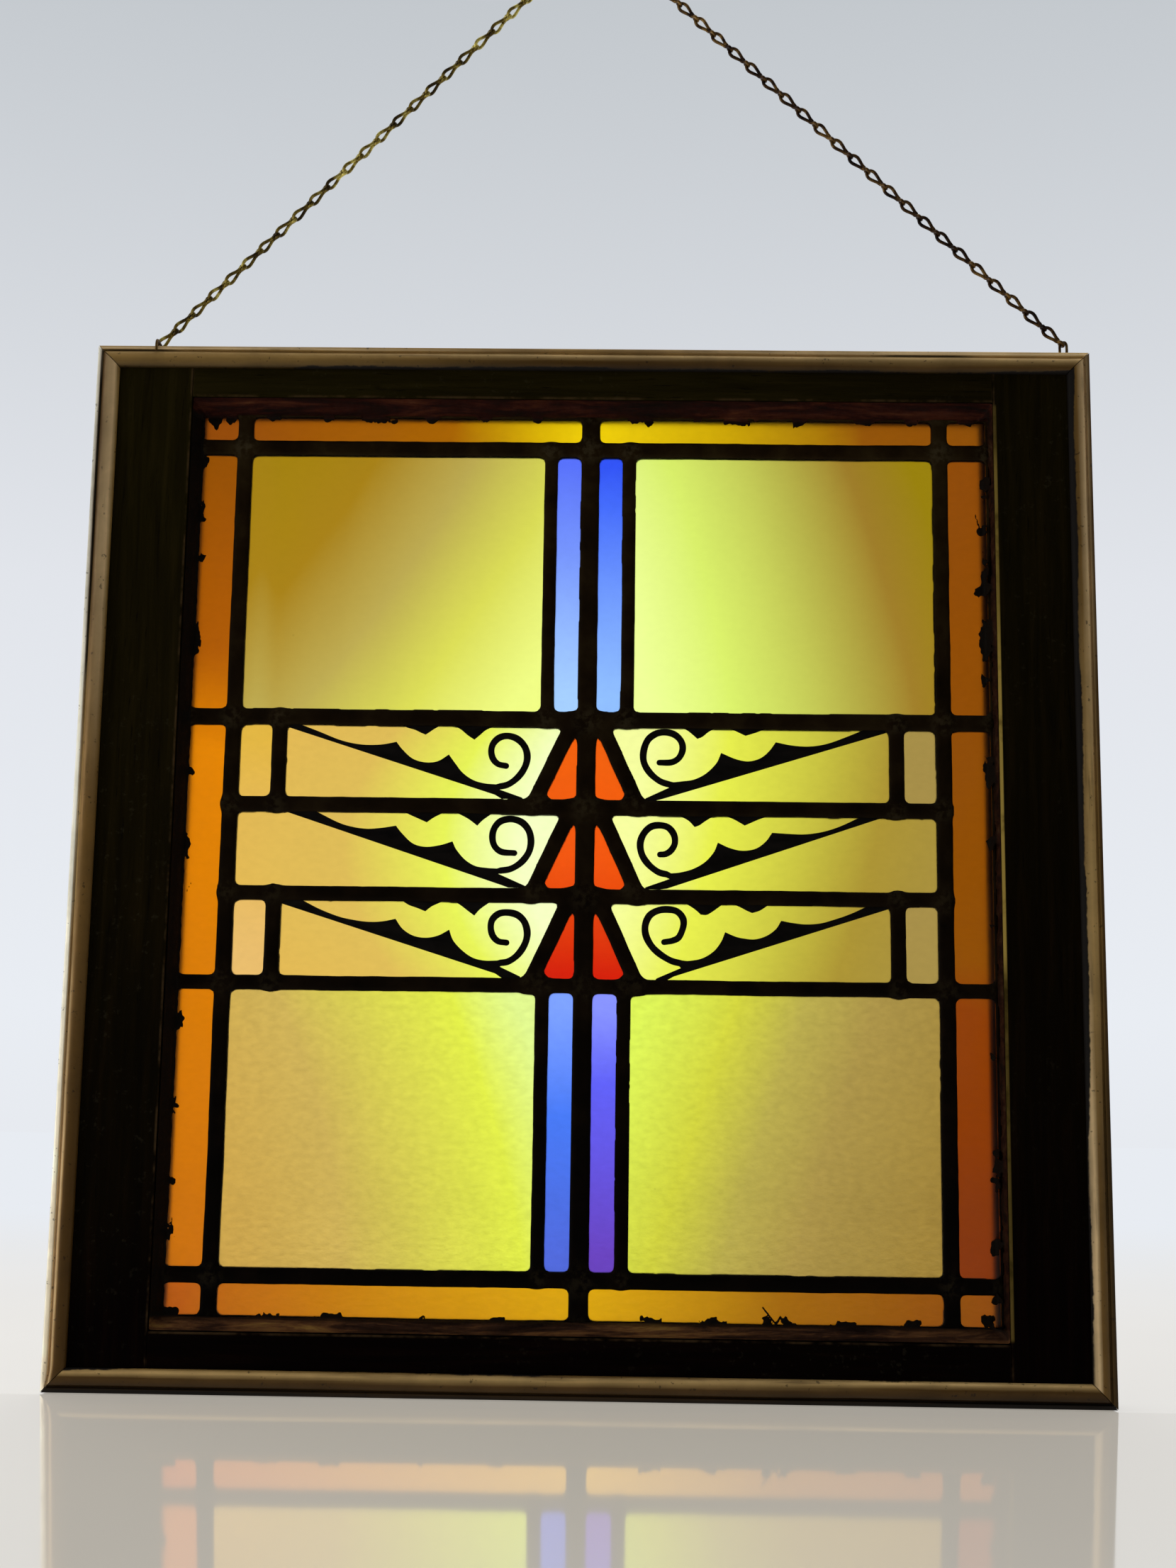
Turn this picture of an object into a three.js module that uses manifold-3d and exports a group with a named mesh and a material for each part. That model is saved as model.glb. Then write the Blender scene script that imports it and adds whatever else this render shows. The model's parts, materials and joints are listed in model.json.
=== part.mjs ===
// Leaded glass panel in a dark wooden sash with a metal edge trim, hung by a brass chain.
// Millimetres, +Z up. The front of the panel faces -Y.
// Origin: the inside top of the hanging ring, where a hook carries the whole panel.
import * as THREE from 'three';
import { mergeVertices } from 'three/addons/utils/BufferGeometryUtils.js';
import Module from 'manifold-3d';

const wasm = await Module();
wasm.setup();

// ---------------------------------------------------------------- driving dimensions
const OUT_W = 442;            // overall width over the trim
const TOP_Z = 450.5;          // top of the trim, panel coordinates (0 = foot of the lower bead)
const BOT_Z = -2.5;           // underside of the trim
const WOOD_DEPTH = 22;        // thickness of the sash, front face at y = 0
const OPEN_HALF = 178.2;      // half width of the front opening in the sash
const OPEN_BOT = 22.5;        // lower edge of the front opening
const OPEN_TOP = 427.5;       // upper edge of the front opening
const LIP_SIDE = 3.0;         // rear lip of the sash, sides
const LIP_END = 4.0;          // rear lip of the sash, top and bottom
const LIP_Y = 14.3;           // front of the rear lip
const GAP = 0.3;              // clearance between separate pieces

const BAND_T = 2.0;           // thickness of the trim's side band
const BAND_D = 12;            // how far the side band wraps back
const BEAD_W = 7.6;           // half-round bead of the trim, width
const BEAD_H = 3.2;           // and how far it stands in front of the sash
const GROOVE = 0.5;           // groove between the band and the bead

const CAME_FRONT_Y = 8.6;     // face of the leadwork
const CAME_LEAF = 0.9;        // thickness of a came leaf
const HEART = 1.2;            // width of the came heart
const GLASS_Y0 = 9.8;         // front of the glass
const GLASS_T = 3.0;          // glass thickness
const CAME_BACK_Y = 14.0;     // rear of the leadwork
const LEAD_HALF = 177.6;      // outer half width of the leaded panel
const LEAD_BOT = 23.1;        // outer lower edge of the leaded panel
const LEAD_TOP = 426.9;       // outer upper edge of the leaded panel
const SIGHT_HALF = 174.6;     // visible half width of the glass
const SIGHT_BOT = 28.4;       // visible lower edge of the glass
const SIGHT_TOP = 421.4;      // visible upper edge of the glass

// centre lines of the cames and half their face widths
const X_BORDER = 155.45, W_BORDER = 3.35;   // inside the amber side columns
const X_SMALL = 134.9, W_SMALL = 3.2;       // inner end of the small rectangles
const X_STRIP = 17.5, W_STRIP = 2.9;        // between the large panes and the centre strips
const W_CENTRE = 4.1;                       // centre came
const Z_A = 407.1, W_A = 3.35;              // below the top amber row
const Z_B = 284.1, W_B = 3.5;               // below the upper large panes
const Z_C = 245.3, W_C = 3.3;
const Z_D = 206.5, W_D = 3.15;
const Z_E = 167.7, W_E = 3.1;               // above the lower large panes
const Z_F = 44.75, W_F = 3.35;              // above the bottom amber row
const SLANT_X0 = 6.5;                       // slanted came centre at the top of a band row
const SLANT = 0.456;                        // and its run per unit of drop
const W_SLANT = 2.82;                       // half face width across the slanted came

const PUTTY_SIDE = 3.9;       // putty bevel, width at the sides
const PUTTY_END = 6.1;        // and at the top and bottom
const PUTTY_FRONT = 0.8;      // how far its thin edge sits behind the sash face

const CHAIN_Y = 5.0;          // plane of the chain
const RING_IN = 6.0;          // inner radius of the hanging ring
const WIRE = 1.3;             // chain wire diameter
const APEX_Z = 657.3;         // where the two legs of the chain converge
const LINK_A = 8.7;           // broad eye of a link, waist to end, wire centre
const LINK_AW = 1.85;         // half width of the broad eye, wire centre
const LINK_BW = 1.5;          // half width of the small cross eye, wire centre
const LEFT_EYE = [-194.6, 450.2];   // x, z of the left eye's crown
const RIGHT_EYE = [210.9, 457.5];   // x, z of the right staple's crown

const ORIGIN = new THREE.Vector3(0, CHAIN_Y, APEX_Z + RING_IN);

// ---------------------------------------------------------------- helpers
function solid(geometry) {
  const g0 = geometry.clone();
  g0.deleteAttribute('normal');
  g0.deleteAttribute('uv');
  const g = mergeVertices(g0, 1e-3);
  const index = g.index ? g.index.array : Uint32Array.from({ length: g.attributes.position.count }, (_, i) => i);
  return new wasm.Manifold(new wasm.Mesh({
    numProp: 3,
    vertProperties: Float32Array.from(g.attributes.position.array),
    triVerts: Uint32Array.from(index),
  }));
}
function geometryOf(m) {
  const mesh = m.getMesh();
  const g = new THREE.BufferGeometry();
  g.setAttribute('position', new THREE.BufferAttribute(Float32Array.from(mesh.vertProperties), 3));
  g.setIndex(new THREE.BufferAttribute(Uint32Array.from(mesh.triVerts), 1));
  return g;
}
function box(x0, x1, y0, y1, z0, z1) {
  const g = new THREE.BoxGeometry(x1 - x0, y1 - y0, z1 - z0);
  g.translate((x0 + x1) / 2, (y0 + y1) / 2, (z0 + z1) / 2);
  return solid(g);
}
// prism of an outline in x-z, between two depths
function plate(outline, y0, y1) {
  const s = new THREE.Shape(outline.map(([x, z]) => new THREE.Vector2(x, z)));
  const g = new THREE.ExtrudeGeometry(s, { depth: y1 - y0, bevelEnabled: false, steps: 1 });
  g.rotateX(Math.PI / 2);      // shape y -> z, extrusion -> -y
  g.translate(0, y1, 0);
  return g;
}
// prism of a section run along z between two heights; section is [x, y]
function alongZ(section, z0, z1) {
  const s = new THREE.Shape(section.map(([x, y]) => new THREE.Vector2(x, y)));
  const g = new THREE.ExtrudeGeometry(s, { depth: z1 - z0, bevelEnabled: false, steps: 1 });
  g.translate(0, 0, z0);
  return solid(g);
}
// prism of a section run along x; section is [z, y]
function alongX(section, x0, x1) {
  const s = new THREE.Shape(section.map(([z, y]) => new THREE.Vector2(-z, y)));
  const g = new THREE.ExtrudeGeometry(s, { depth: x1 - x0, bevelEnabled: false, steps: 1 });
  g.rotateY(Math.PI / 2);      // shape x -> -z, extrusion -> x
  g.translate(x0, 0, 0);
  return solid(g);
}
const material = (color, roughness, metalness) => new THREE.MeshStandardMaterial({ color, roughness, metalness });
const part = new THREE.Group();
part.name = 'leaded_glass_panel';
function add(name, shape, mat) {
  const g = shape instanceof THREE.BufferGeometry ? geometryOf(solid(shape)) : geometryOf(shape);
  g.translate(-ORIGIN.x, -ORIGIN.y, -ORIGIN.z);
  const flat = g.toNonIndexed();
  flat.computeVertexNormals();
  const mesh = new THREE.Mesh(flat, mat);
  mesh.name = name;
  part.add(mesh);
}

const BRASS_TRIM = material(0x84714a, 0.45, 0.85);
const WOOD = material(0x1b190e, 0.6, 0);
const LEAD = material(0x2c2b28, 0.6, 0.5);
const PUTTY = material(0x171412, 0.8, 0);
const CHAIN = material(0x9a7a35, 0.4, 0.9);
const GLASS = {
  amber: material(0xd07a10, 0.12, 0),
  orange: material(0x9a4b06, 0.12, 0),
  straw: material(0xd9c24a, 0.12, 0),
  tan: material(0xd8bd76, 0.12, 0),
  blue: material(0x5f86f0, 0.12, 0),
  purple: material(0x6446cc, 0.12, 0),
  red: material(0xee4a0a, 0.12, 0),
};

// ---------------------------------------------------------------- sash
const WOOD_X = OUT_W / 2 - BAND_T - GAP;      // outer face of the stiles
const WOOD_TOP = TOP_Z - BAND_T - GAP;
const WOOD_BOT = BOT_Z + BAND_T + GAP;
const holeAt = (x, y, z0, z1, r) => {
  const g = new THREE.CylinderGeometry(r, r, z1 - z0, 8);
  g.rotateX(Math.PI / 2);
  g.translate(x, y, (z0 + z1) / 2);
  return solid(g);
};
const STAPLE_HALF = 1.55;                     // half spacing of the right staple's legs
const STAPLE_DEPTH = 443;                     // how low the staple legs reach
const LEFT_REAR_Y = 8.5;                      // rear leg of the left staple
const legHoles = [
  holeAt(RIGHT_EYE[0] - STAPLE_HALF, CHAIN_Y, STAPLE_DEPTH - 1, TOP_Z + 1, WIRE / 2 + GAP),
  holeAt(RIGHT_EYE[0] + STAPLE_HALF, CHAIN_Y, STAPLE_DEPTH - 1, TOP_Z + 1, WIRE / 2 + GAP),
  holeAt(LEFT_EYE[0], LEFT_REAR_Y, STAPLE_DEPTH - 1, TOP_Z + 1, WIRE / 2 + GAP),
];
function stile(side) {
  const front = box(OPEN_HALF, WOOD_X, 0, WOOD_DEPTH, WOOD_BOT, WOOD_TOP);
  const lip = box(OPEN_HALF - LIP_SIDE, OPEN_HALF + 1, LIP_Y, WOOD_DEPTH, WOOD_BOT, WOOD_TOP);
  let s = front.add(lip);
  if (side < 0) s = s.mirror([1, 0, 0]);
  for (const h of legHoles) s = s.subtract(h);
  return s;
}
function rail(top) {
  const x = OPEN_HALF - GAP, xl = OPEN_HALF - LIP_SIDE - GAP;
  const z0 = top ? OPEN_TOP : WOOD_BOT, z1 = top ? WOOD_TOP : OPEN_BOT;
  const l0 = top ? OPEN_TOP - LIP_END : WOOD_BOT, l1 = top ? WOOD_TOP : OPEN_BOT + LIP_END;
  return box(-x, x, 0, LIP_Y - GAP, z0, z1).add(box(-xl, xl, LIP_Y - GAP - 0.5, WOOD_DEPTH, z0, z1))
    .add(box(-xl, xl, LIP_Y, WOOD_DEPTH, l0, l1));
}
add('stile_left', stile(-1), WOOD);
add('stile_right', stile(1), WOOD);
add('rail_top', rail(true), WOOD);
add('rail_bottom', rail(false), WOOD);

// ---------------------------------------------------------------- metal edge trim
const FACE_Y = -GAP;                          // rear of the trim on the sash face
const trimSection = [];                       // [distance in from the outer edge, y]
trimSection.push([0, BAND_D], [0, -1.6], [0.3, -1.9], [BAND_T - 0.3, -1.9], [BAND_T, -1.6], [BAND_T, -0.9], [BAND_T + GROOVE, -0.9]);
const beadMid = BAND_T + GROOVE + BEAD_W / 2;
for (let i = 1; i < 8; i++) {
  const t = Math.PI * i / 8;
  trimSection.push([beadMid - Math.cos(t) * BEAD_W / 2, -0.6 - (BEAD_H - 0.6) * Math.sin(t)]);
}
trimSection.push([BAND_T + GROOVE + BEAD_W, -0.6], [BAND_T + GROOVE + BEAD_W, FACE_Y], [BAND_T, FACE_Y], [BAND_T, BAND_D]);
const HALF = OUT_W / 2, REACH = 14, MITRE = 0.15 * Math.SQRT2;
function trimSide(side) {
  const strip = alongZ(trimSection.map(([u, y]) => [side * (HALF - u), y]), BOT_Z, TOP_Z);
  const keep = [[side * (HALF + 1), BOT_Z - 1 + MITRE], [side * (HALF - REACH), BOT_Z + REACH + MITRE],
    [side * (HALF - REACH), TOP_Z - REACH - MITRE], [side * (HALF + 1), TOP_Z + 1 - MITRE]];
  return strip.intersect(solid(plate(side < 0 ? keep.reverse() : keep, -20, 30)));
}
function trimEnd(top) {
  const z = top ? TOP_Z : BOT_Z, k = top ? 1 : -1;
  const strip = alongX(trimSection.map(([u, y]) => [z - k * u, y]), -HALF, HALF);
  const keep = [[-HALF - 1 + MITRE, z + k], [HALF + 1 - MITRE, z + k], [HALF - REACH - MITRE, z - k * REACH], [-HALF + REACH + MITRE, z - k * REACH]];
  let s = strip.intersect(solid(plate(top ? keep.reverse() : keep, -20, 30)));
  for (const h of legHoles) s = s.subtract(h);
  return s;
}
add('trim_left', trimSide(-1), BRASS_TRIM);
add('trim_right', trimSide(1), BRASS_TRIM);
add('trim_top', trimEnd(true), BRASS_TRIM);
add('trim_bottom', trimEnd(false), BRASS_TRIM);

// ---------------------------------------------------------------- leadwork and glass
// A line of leadwork: inward normal n, position d along it, half face width w, half heart width h.
const H2 = HEART / 2;
const vline = (x, w, h = H2) => ({ left: { n: [1, 0], d: x, w, h }, right: { n: [-1, 0], d: -x, w, h } });
const hline = (z, w, h = H2) => ({ above: { n: [0, 1], d: z, w, h }, below: { n: [0, -1], d: -z, w, h } });
const EDGE_H = 0.5;
const vBorderL = vline(-LEAD_HALF + EDGE_H, LEAD_HALF - EDGE_H - SIGHT_HALF, EDGE_H).left;
const vBorderR = vline(LEAD_HALF - EDGE_H, LEAD_HALF - EDGE_H - SIGHT_HALF, EDGE_H).right;
const hBottom = hline(LEAD_BOT + EDGE_H, SIGHT_BOT - LEAD_BOT - EDGE_H, EDGE_H).above;
const hTop = hline(LEAD_TOP - EDGE_H, LEAD_TOP - EDGE_H - SIGHT_TOP, EDGE_H).below;
const V = {
  bl: vline(-X_BORDER, W_BORDER), br: vline(X_BORDER, W_BORDER),
  sl: vline(-X_SMALL, W_SMALL), sr: vline(X_SMALL, W_SMALL),
  tl: vline(-X_STRIP, W_STRIP), tr: vline(X_STRIP, W_STRIP),
  c: vline(0, W_CENTRE),
};
const L = { a: hline(Z_A, W_A), b: hline(Z_B, W_B), c: hline(Z_C, W_C), d: hline(Z_D, W_D), e: hline(Z_E, W_E), f: hline(Z_F, W_F) };
const norm = Math.hypot(1, SLANT);
// slanted came of a band row whose visible top is at zt; side -1 left, 1 right
function slant(side, zt) {
  // centre line: side * x = SLANT_X0 + SLANT * (zt - z)
  const out = { n: [side / norm, SLANT / norm], d: (SLANT_X0 + SLANT * zt) / norm, w: W_SLANT, h: H2 };
  const inn = { n: [-out.n[0], -out.n[1]], d: -out.d, w: W_SLANT, h: H2 };
  return { out, inn };
}
function clip(poly, n, d) {
  const res = [];
  for (let i = 0; i < poly.length; i++) {
    const p = poly[i], q = poly[(i + 1) % poly.length];
    const a = n[0] * p[0] + n[1] * p[1] - d, b = n[0] * q[0] + n[1] * q[1] - d;
    if (a >= 0) res.push(p);
    if ((a >= 0) !== (b >= 0)) {
      const t = a / (a - b);
      res.push([p[0] + (q[0] - p[0]) * t, p[1] + (q[1] - p[1]) * t]);
    }
  }
  return res;
}
function outline(lines, offset) {
  let p = [[-300, -100], [300, -100], [300, 600], [-300, 600]];
  for (const l of lines) p = clip(p, l.n, l.d + offset(l));
  return p.filter((v, i) => {
    const w = p[(i + 1) % p.length];
    return Math.hypot(v[0] - w[0], v[1] - w[1]) > 0.05;
  });
}
const cells = [];
const cell = (name, lines, glass) => cells.push({ name, lines, glass });
// top and bottom amber rows
for (const [tag, lo, hi] of [['top', L.a.above, hTop], ['bottom', hBottom, L.f.below]]) {
  cell(`glass_${tag}_corner_left`, [vBorderL, V.bl.right, lo, hi], 'amber');
  cell(`glass_${tag}_row_left`, [V.bl.left, V.c.right, lo, hi], 'amber');
  cell(`glass_${tag}_row_right`, [V.c.left, V.br.right, lo, hi], 'amber');
  cell(`glass_${tag}_corner_right`, [V.br.left, vBorderR, lo, hi], 'amber');
}
// amber side columns
for (const [tag, lo, hi] of [['upper', L.b.above, L.a.below], ['middle', L.e.above, L.b.below], ['lower', L.f.above, L.e.below]]) {
  cell(`glass_side_${tag}_left`, [vBorderL, V.bl.right, lo, hi], 'amber');
  cell(`glass_side_${tag}_right`, [V.br.left, vBorderR, lo, hi], 'orange');
}
// large panes and the pairs of narrow centre strips
for (const [tag, lo, hi] of [['upper', L.b.above, L.a.below], ['lower', L.f.above, L.e.below]]) {
  cell(`glass_pane_${tag}_left`, [V.bl.left, V.tl.right, lo, hi], 'straw');
  cell(`glass_pane_${tag}_right`, [V.tr.left, V.br.right, lo, hi], 'straw');
  cell(`glass_centre_${tag}_left`, [V.tl.left, V.c.right, lo, hi], 'blue');
  cell(`glass_centre_${tag}_right`, [V.c.left, V.tr.right, lo, hi], tag === 'lower' ? 'purple' : 'blue');
}
// the three band rows
for (const [row, lo, hi, zt, small] of [
  [1, L.c.above, L.b.below, Z_B - W_B, true],
  [2, L.d.above, L.c.below, Z_C - W_C, false],
  [3, L.e.above, L.d.below, Z_D - W_D, true],
]) {
  const sl = slant(-1, zt), sr = slant(1, zt);
  if (small) {
    cell(`glass_small_${row}_left`, [V.bl.left, V.sl.right, lo, hi], 'tan');
    cell(`glass_small_${row}_right`, [V.sr.left, V.br.right, lo, hi], 'tan');
  }
  cell(`glass_scroll_${row}_left`, [(small ? V.sl : V.bl).left, sl.out, lo, hi], 'tan');
  cell(`glass_scroll_${row}_right`, [sr.out, (small ? V.sr : V.br).right, lo, hi], 'tan');
  cell(`glass_red_${row}_left`, [sl.inn, V.c.right, lo, hi], 'red');
  cell(`glass_red_${row}_right`, [V.c.left, sr.inn, lo, hi], 'red');
}
const rect = [[-LEAD_HALF, LEAD_BOT], [LEAD_HALF, LEAD_BOT], [LEAD_HALF, LEAD_TOP], [-LEAD_HALF, LEAD_TOP]];
const sights = cells.map((c) => outline(c.lines, (l) => l.w));
const hearts = cells.map((c) => outline(c.lines, (l) => l.h));
// the whole slab, less the sight openings through its leaves and the wider channels between them
let lead = solid(plate(rect, CAME_FRONT_Y, CAME_BACK_Y));
for (const s of sights) lead = lead.subtract(solid(plate(s, CAME_FRONT_Y - 1, CAME_BACK_Y + 1)));
for (const h of hearts) lead = lead.subtract(solid(plate(h, CAME_FRONT_Y + CAME_LEAF, CAME_BACK_Y - CAME_LEAF)));
add('leadwork', lead, LEAD);
for (const c of cells) add(c.name, plate(outline(c.lines, (l) => l.h + GAP), GLASS_Y0, GLASS_Y0 + GLASS_T), GLASS[c.glass]);

// ---------------------------------------------------------------- putty bevel on the front
const PY = CAME_FRONT_Y - GAP, po = OPEN_HALF - GAP, pi = OPEN_HALF - PUTTY_SIDE;
const pb = OPEN_BOT + GAP, pt = OPEN_TOP - GAP;
const wedgeSide = (s) => alongZ(s > 0 ? [[po, PUTTY_FRONT], [po, PY], [pi, PY]] : [[-po, PUTTY_FRONT], [-pi, PY], [-po, PY]], pb, pt);
const wedgeEnd = (z, zi) => alongX([[z, PUTTY_FRONT], [zi, PY], [z, PY]], -po, po);
add('putty', wedgeSide(-1).add(wedgeSide(1)).add(wedgeEnd(pb, OPEN_BOT + PUTTY_END)).add(wedgeEnd(pt, OPEN_TOP - PUTTY_END)), PUTTY);

// ---------------------------------------------------------------- staples, chain and hanging ring
function wire(points, segments, sides = 6, closed = false, r = WIRE / 2) {
  const path = new THREE.CatmullRomCurve3(points.map((p) => new THREE.Vector3(...p)), closed, 'centripetal');
  if (closed) return solid(new THREE.TubeGeometry(path, segments, r, sides, true));
  const disc = new THREE.Shape();
  for (let i = 0; i < sides; i++) {
    const a = 2 * Math.PI * i / sides, f = i ? 'lineTo' : 'moveTo';
    disc[f](r * Math.cos(a), r * Math.sin(a));
  }
  return solid(new THREE.ExtrudeGeometry(disc, { steps: segments, extrudePath: path, bevelEnabled: false, curveSegments: 1 }));
}
const [rx, rz] = RIGHT_EYE;
add('staple_right', wire([[rx - STAPLE_HALF, CHAIN_Y, STAPLE_DEPTH], [rx - STAPLE_HALF, CHAIN_Y, rz - 6], [rx - STAPLE_HALF, CHAIN_Y, rz - 1.2],
  [rx - STAPLE_HALF * 0.6, CHAIN_Y, rz], [rx + STAPLE_HALF * 0.6, CHAIN_Y, rz],
  [rx + STAPLE_HALF, CHAIN_Y, rz - 1.2], [rx + STAPLE_HALF, CHAIN_Y, rz - 6], [rx + STAPLE_HALF, CHAIN_Y, STAPLE_DEPTH]], 18), CHAIN);
const [lx] = LEFT_EYE, lz = 453.2;
add('staple_left', wire([[lx, -2.9, 447.6], [lx, -2.9, 449.5], [lx, -2.6, 452], [lx, -1.2, lz], [lx, 3, lz], [lx, 6.8, lz], [lx, LEFT_REAR_Y, 451.6], [lx, LEFT_REAR_Y, 448], [lx, LEFT_REAR_Y, STAPLE_DEPTH]], 16), CHAIN);

const centre = new THREE.Vector3(0, CHAIN_Y, APEX_Z);
const OVER = 0.25;                            // how far touching links are sunk into each other
const CROSS_LINK = 5.4;                       // wire-centre length of the cross link at the ring
const depthAxis = new THREE.Vector3(0, 1, 0);
// an eye of square-section wire: outline and hole given as [station along the leg, half width],
// lying in the plane of dir and across
function eye(at, dir, across, outer, inner) {
  const ring = (pr) => [...pr.map(([t, w]) => new THREE.Vector2(t, w)), ...pr.filter(([, w]) => w > 0.01).reverse().map(([t, w]) => new THREE.Vector2(t, -w))];
  const s = new THREE.Shape(ring(outer).reverse());
  s.holes.push(new THREE.Path(ring(inner)));
  const g = new THREE.ExtrudeGeometry(s, { depth: WIRE, bevelEnabled: false, steps: 1 });
  g.translate(0, 0, -WIRE / 2);
  const third = new THREE.Vector3().crossVectors(dir, across);
  g.applyMatrix4(new THREE.Matrix4().makeBasis(dir, across, third).setPosition(at));
  return solid(g);
}
const HW = WIRE / 2;
function broad(at, dir, across, a) {
  return eye(at, dir, across,
    [[-HW, 1.15], [5.2, LINK_AW + HW], [a - 0.6, LINK_AW + HW - 0.2], [a + HW, 0.95]],
    [[HW, 0.35], [5.2, LINK_AW - HW], [a - HW - 0.3, 0.9]]);
}
function small(at, dir, b) {
  return eye(at, dir.clone().negate(), depthAxis,
    [[-HW * 0.6, LINK_BW + 0.35], [b - 0.5, LINK_BW + HW], [b + HW, 0.8]],
    [[HW, LINK_BW - HW - 0.1], [b - HW, LINK_BW - HW + 0.1]]);
}
function leg(foot, broadUp) {
  const dir = centre.clone().sub(foot).normalize();
  const length = centre.clone().sub(foot).length() - (RING_IN - GAP - WIRE / 2);
  const across = new THREE.Vector3().crossVectors(depthAxis, dir).normalize();
  let m = null;
  const join = (s) => { m = m ? m.add(s) : s; };
  if (broadUp) {
    const n = 26, pitch = (length - CROSS_LINK) / n, b = pitch + WIRE - OVER - LINK_A;
    for (let k = 0; k < n; k++) {
      const w = foot.clone().addScaledVector(dir, b + k * pitch);
      join(broad(w, dir, across, LINK_A));
      join(small(w, dir, b));
    }
    // a small cross link up to the ring
    const t0 = n * pitch, t1 = length, mid = (t0 + t1) / 2, hl = (t1 - t0) / 2;
    const o = foot.clone().addScaledVector(dir, mid);
    join(eye(o, dir, depthAxis, [[-hl - HW, 1.6], [hl - 0.4, LINK_BW + 0.1 + HW], [hl + HW, 1.2]], [[-hl + HW, 0.7], [hl - HW, LINK_BW + 0.1 - HW]]));
  } else {
    const n = 26, pitch = (length - WIRE + OVER) / n, b = pitch + WIRE - OVER - LINK_A;
    const down = dir.clone().negate();
    for (let k = 0; k < n; k++) {
      const w = foot.clone().addScaledVector(dir, LINK_A + k * pitch);
      join(broad(w, down, across, LINK_A));
      join(small(w, down, b));
    }
  }
  return m;
}
const footLeft = new THREE.Vector3(lx, CHAIN_Y, lz).addScaledVector(new THREE.Vector3(-0.69, 0, -0.724), WIRE + GAP);
const footRight = new THREE.Vector3(rx, CHAIN_Y, rz - WIRE - GAP);
const legs = { chain_left: leg(footLeft, false), chain_right: leg(footRight, true) };
for (const [name, m] of Object.entries(legs)) {
  if (m.decompose().length !== 1) throw new Error(`${name} is in ${m.decompose().length} pieces`);
  add(name, m, CHAIN);
}
const ring = new THREE.TorusGeometry(RING_IN + WIRE / 2, WIRE / 2, 6, 24);
ring.rotateX(Math.PI / 2);
ring.translate(centre.x, centre.y, centre.z);
add('hanging_ring', ring, CHAIN);

export default part;
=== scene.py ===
"""Looks of the leaded glass panel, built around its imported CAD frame.

Panel coordinates are used below: millimetres, X across from the centre, Y back from the sash face, Z up from the foot
of the lower bead. P() turns them into the row frame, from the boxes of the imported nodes.
"""

import json
import math

import bpy
import mathutils
import numpy as np
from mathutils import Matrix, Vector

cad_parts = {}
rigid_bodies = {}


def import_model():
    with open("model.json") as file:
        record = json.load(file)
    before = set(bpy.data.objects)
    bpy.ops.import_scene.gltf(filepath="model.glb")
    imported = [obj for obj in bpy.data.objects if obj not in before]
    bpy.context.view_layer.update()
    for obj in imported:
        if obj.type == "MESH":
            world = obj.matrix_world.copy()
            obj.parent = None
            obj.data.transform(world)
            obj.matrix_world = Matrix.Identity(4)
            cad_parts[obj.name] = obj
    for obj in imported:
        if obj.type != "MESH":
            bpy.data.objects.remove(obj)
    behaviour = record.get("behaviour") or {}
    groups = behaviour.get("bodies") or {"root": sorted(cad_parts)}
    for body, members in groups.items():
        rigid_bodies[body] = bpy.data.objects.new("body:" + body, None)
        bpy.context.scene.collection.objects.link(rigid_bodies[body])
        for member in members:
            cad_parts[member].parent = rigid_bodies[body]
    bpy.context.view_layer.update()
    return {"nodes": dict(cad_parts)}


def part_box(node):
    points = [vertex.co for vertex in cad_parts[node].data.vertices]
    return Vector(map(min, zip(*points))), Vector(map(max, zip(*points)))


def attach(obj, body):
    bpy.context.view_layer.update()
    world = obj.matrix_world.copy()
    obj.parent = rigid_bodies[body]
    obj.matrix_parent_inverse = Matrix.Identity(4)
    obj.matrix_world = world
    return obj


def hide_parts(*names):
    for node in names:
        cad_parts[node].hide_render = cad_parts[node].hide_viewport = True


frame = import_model()
NODES = frame["nodes"]

MM = 0.001
Y0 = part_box("stile_left")[0].y                    # front face of the sash
Z0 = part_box("trim_top")[1].z - 450.5 * MM         # foot of the lower bead


def P(v):
    """Panel millimetres, an array of points, to the row frame in metres."""
    v = np.atleast_2d(np.asarray(v, float)) * MM
    return v + np.array([0.0, Y0, Z0])


def panel_box(node):
    """The box of a CAD node in panel millimetres: lowest corner, highest corner."""
    lo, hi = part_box(node)
    shift = np.array([0.0, Y0, Z0])
    return (np.array(lo) - shift) / MM, (np.array(hi) - shift) / MM


# ------------------------------------------------------------------ smooth noise on arrays
def lattice(seed, n=128):
    return np.random.default_rng(seed).uniform(-1, 1, (n, n))


def noise2(x, z, scale, seed, octaves=3, gain=0.5):
    """Smooth value noise in about -1..1 at points x, z; scale is the size of its largest features."""
    total, amount, norm = np.zeros(np.shape(x)), 1.0, 0.0
    for o in range(octaves):
        t = lattice(seed * 17 + o)
        n = t.shape[0]
        u = np.asarray(x) / scale * 2**o + 37.3 + 11.7 * o
        w = np.asarray(z) / scale * 2**o + 19.1 + 5.3 * o
        i, j = np.floor(u).astype(int), np.floor(w).astype(int)
        fu, fw = u - i, w - j
        fu, fw = fu * fu * (3 - 2 * fu), fw * fw * (3 - 2 * fw)
        a, b = t[i % n, j % n], t[(i + 1) % n, j % n]
        c, d = t[i % n, (j + 1) % n], t[(i + 1) % n, (j + 1) % n]
        total = total + amount * ((a * (1 - fu) + b * fu) * (1 - fw) + (c * (1 - fu) + d * fu) * fw)
        norm += amount
        amount *= gain
    return total / norm * 1.35


# ------------------------------------------------------------------ materials
def lin(c):
    """sRGB 0..255 to linear."""
    out = []
    for v in c:
        v = v / 255
        out.append(v / 12.92 if v <= 0.04045 else ((v + 0.055) / 1.055) ** 2.4)
    return out


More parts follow.
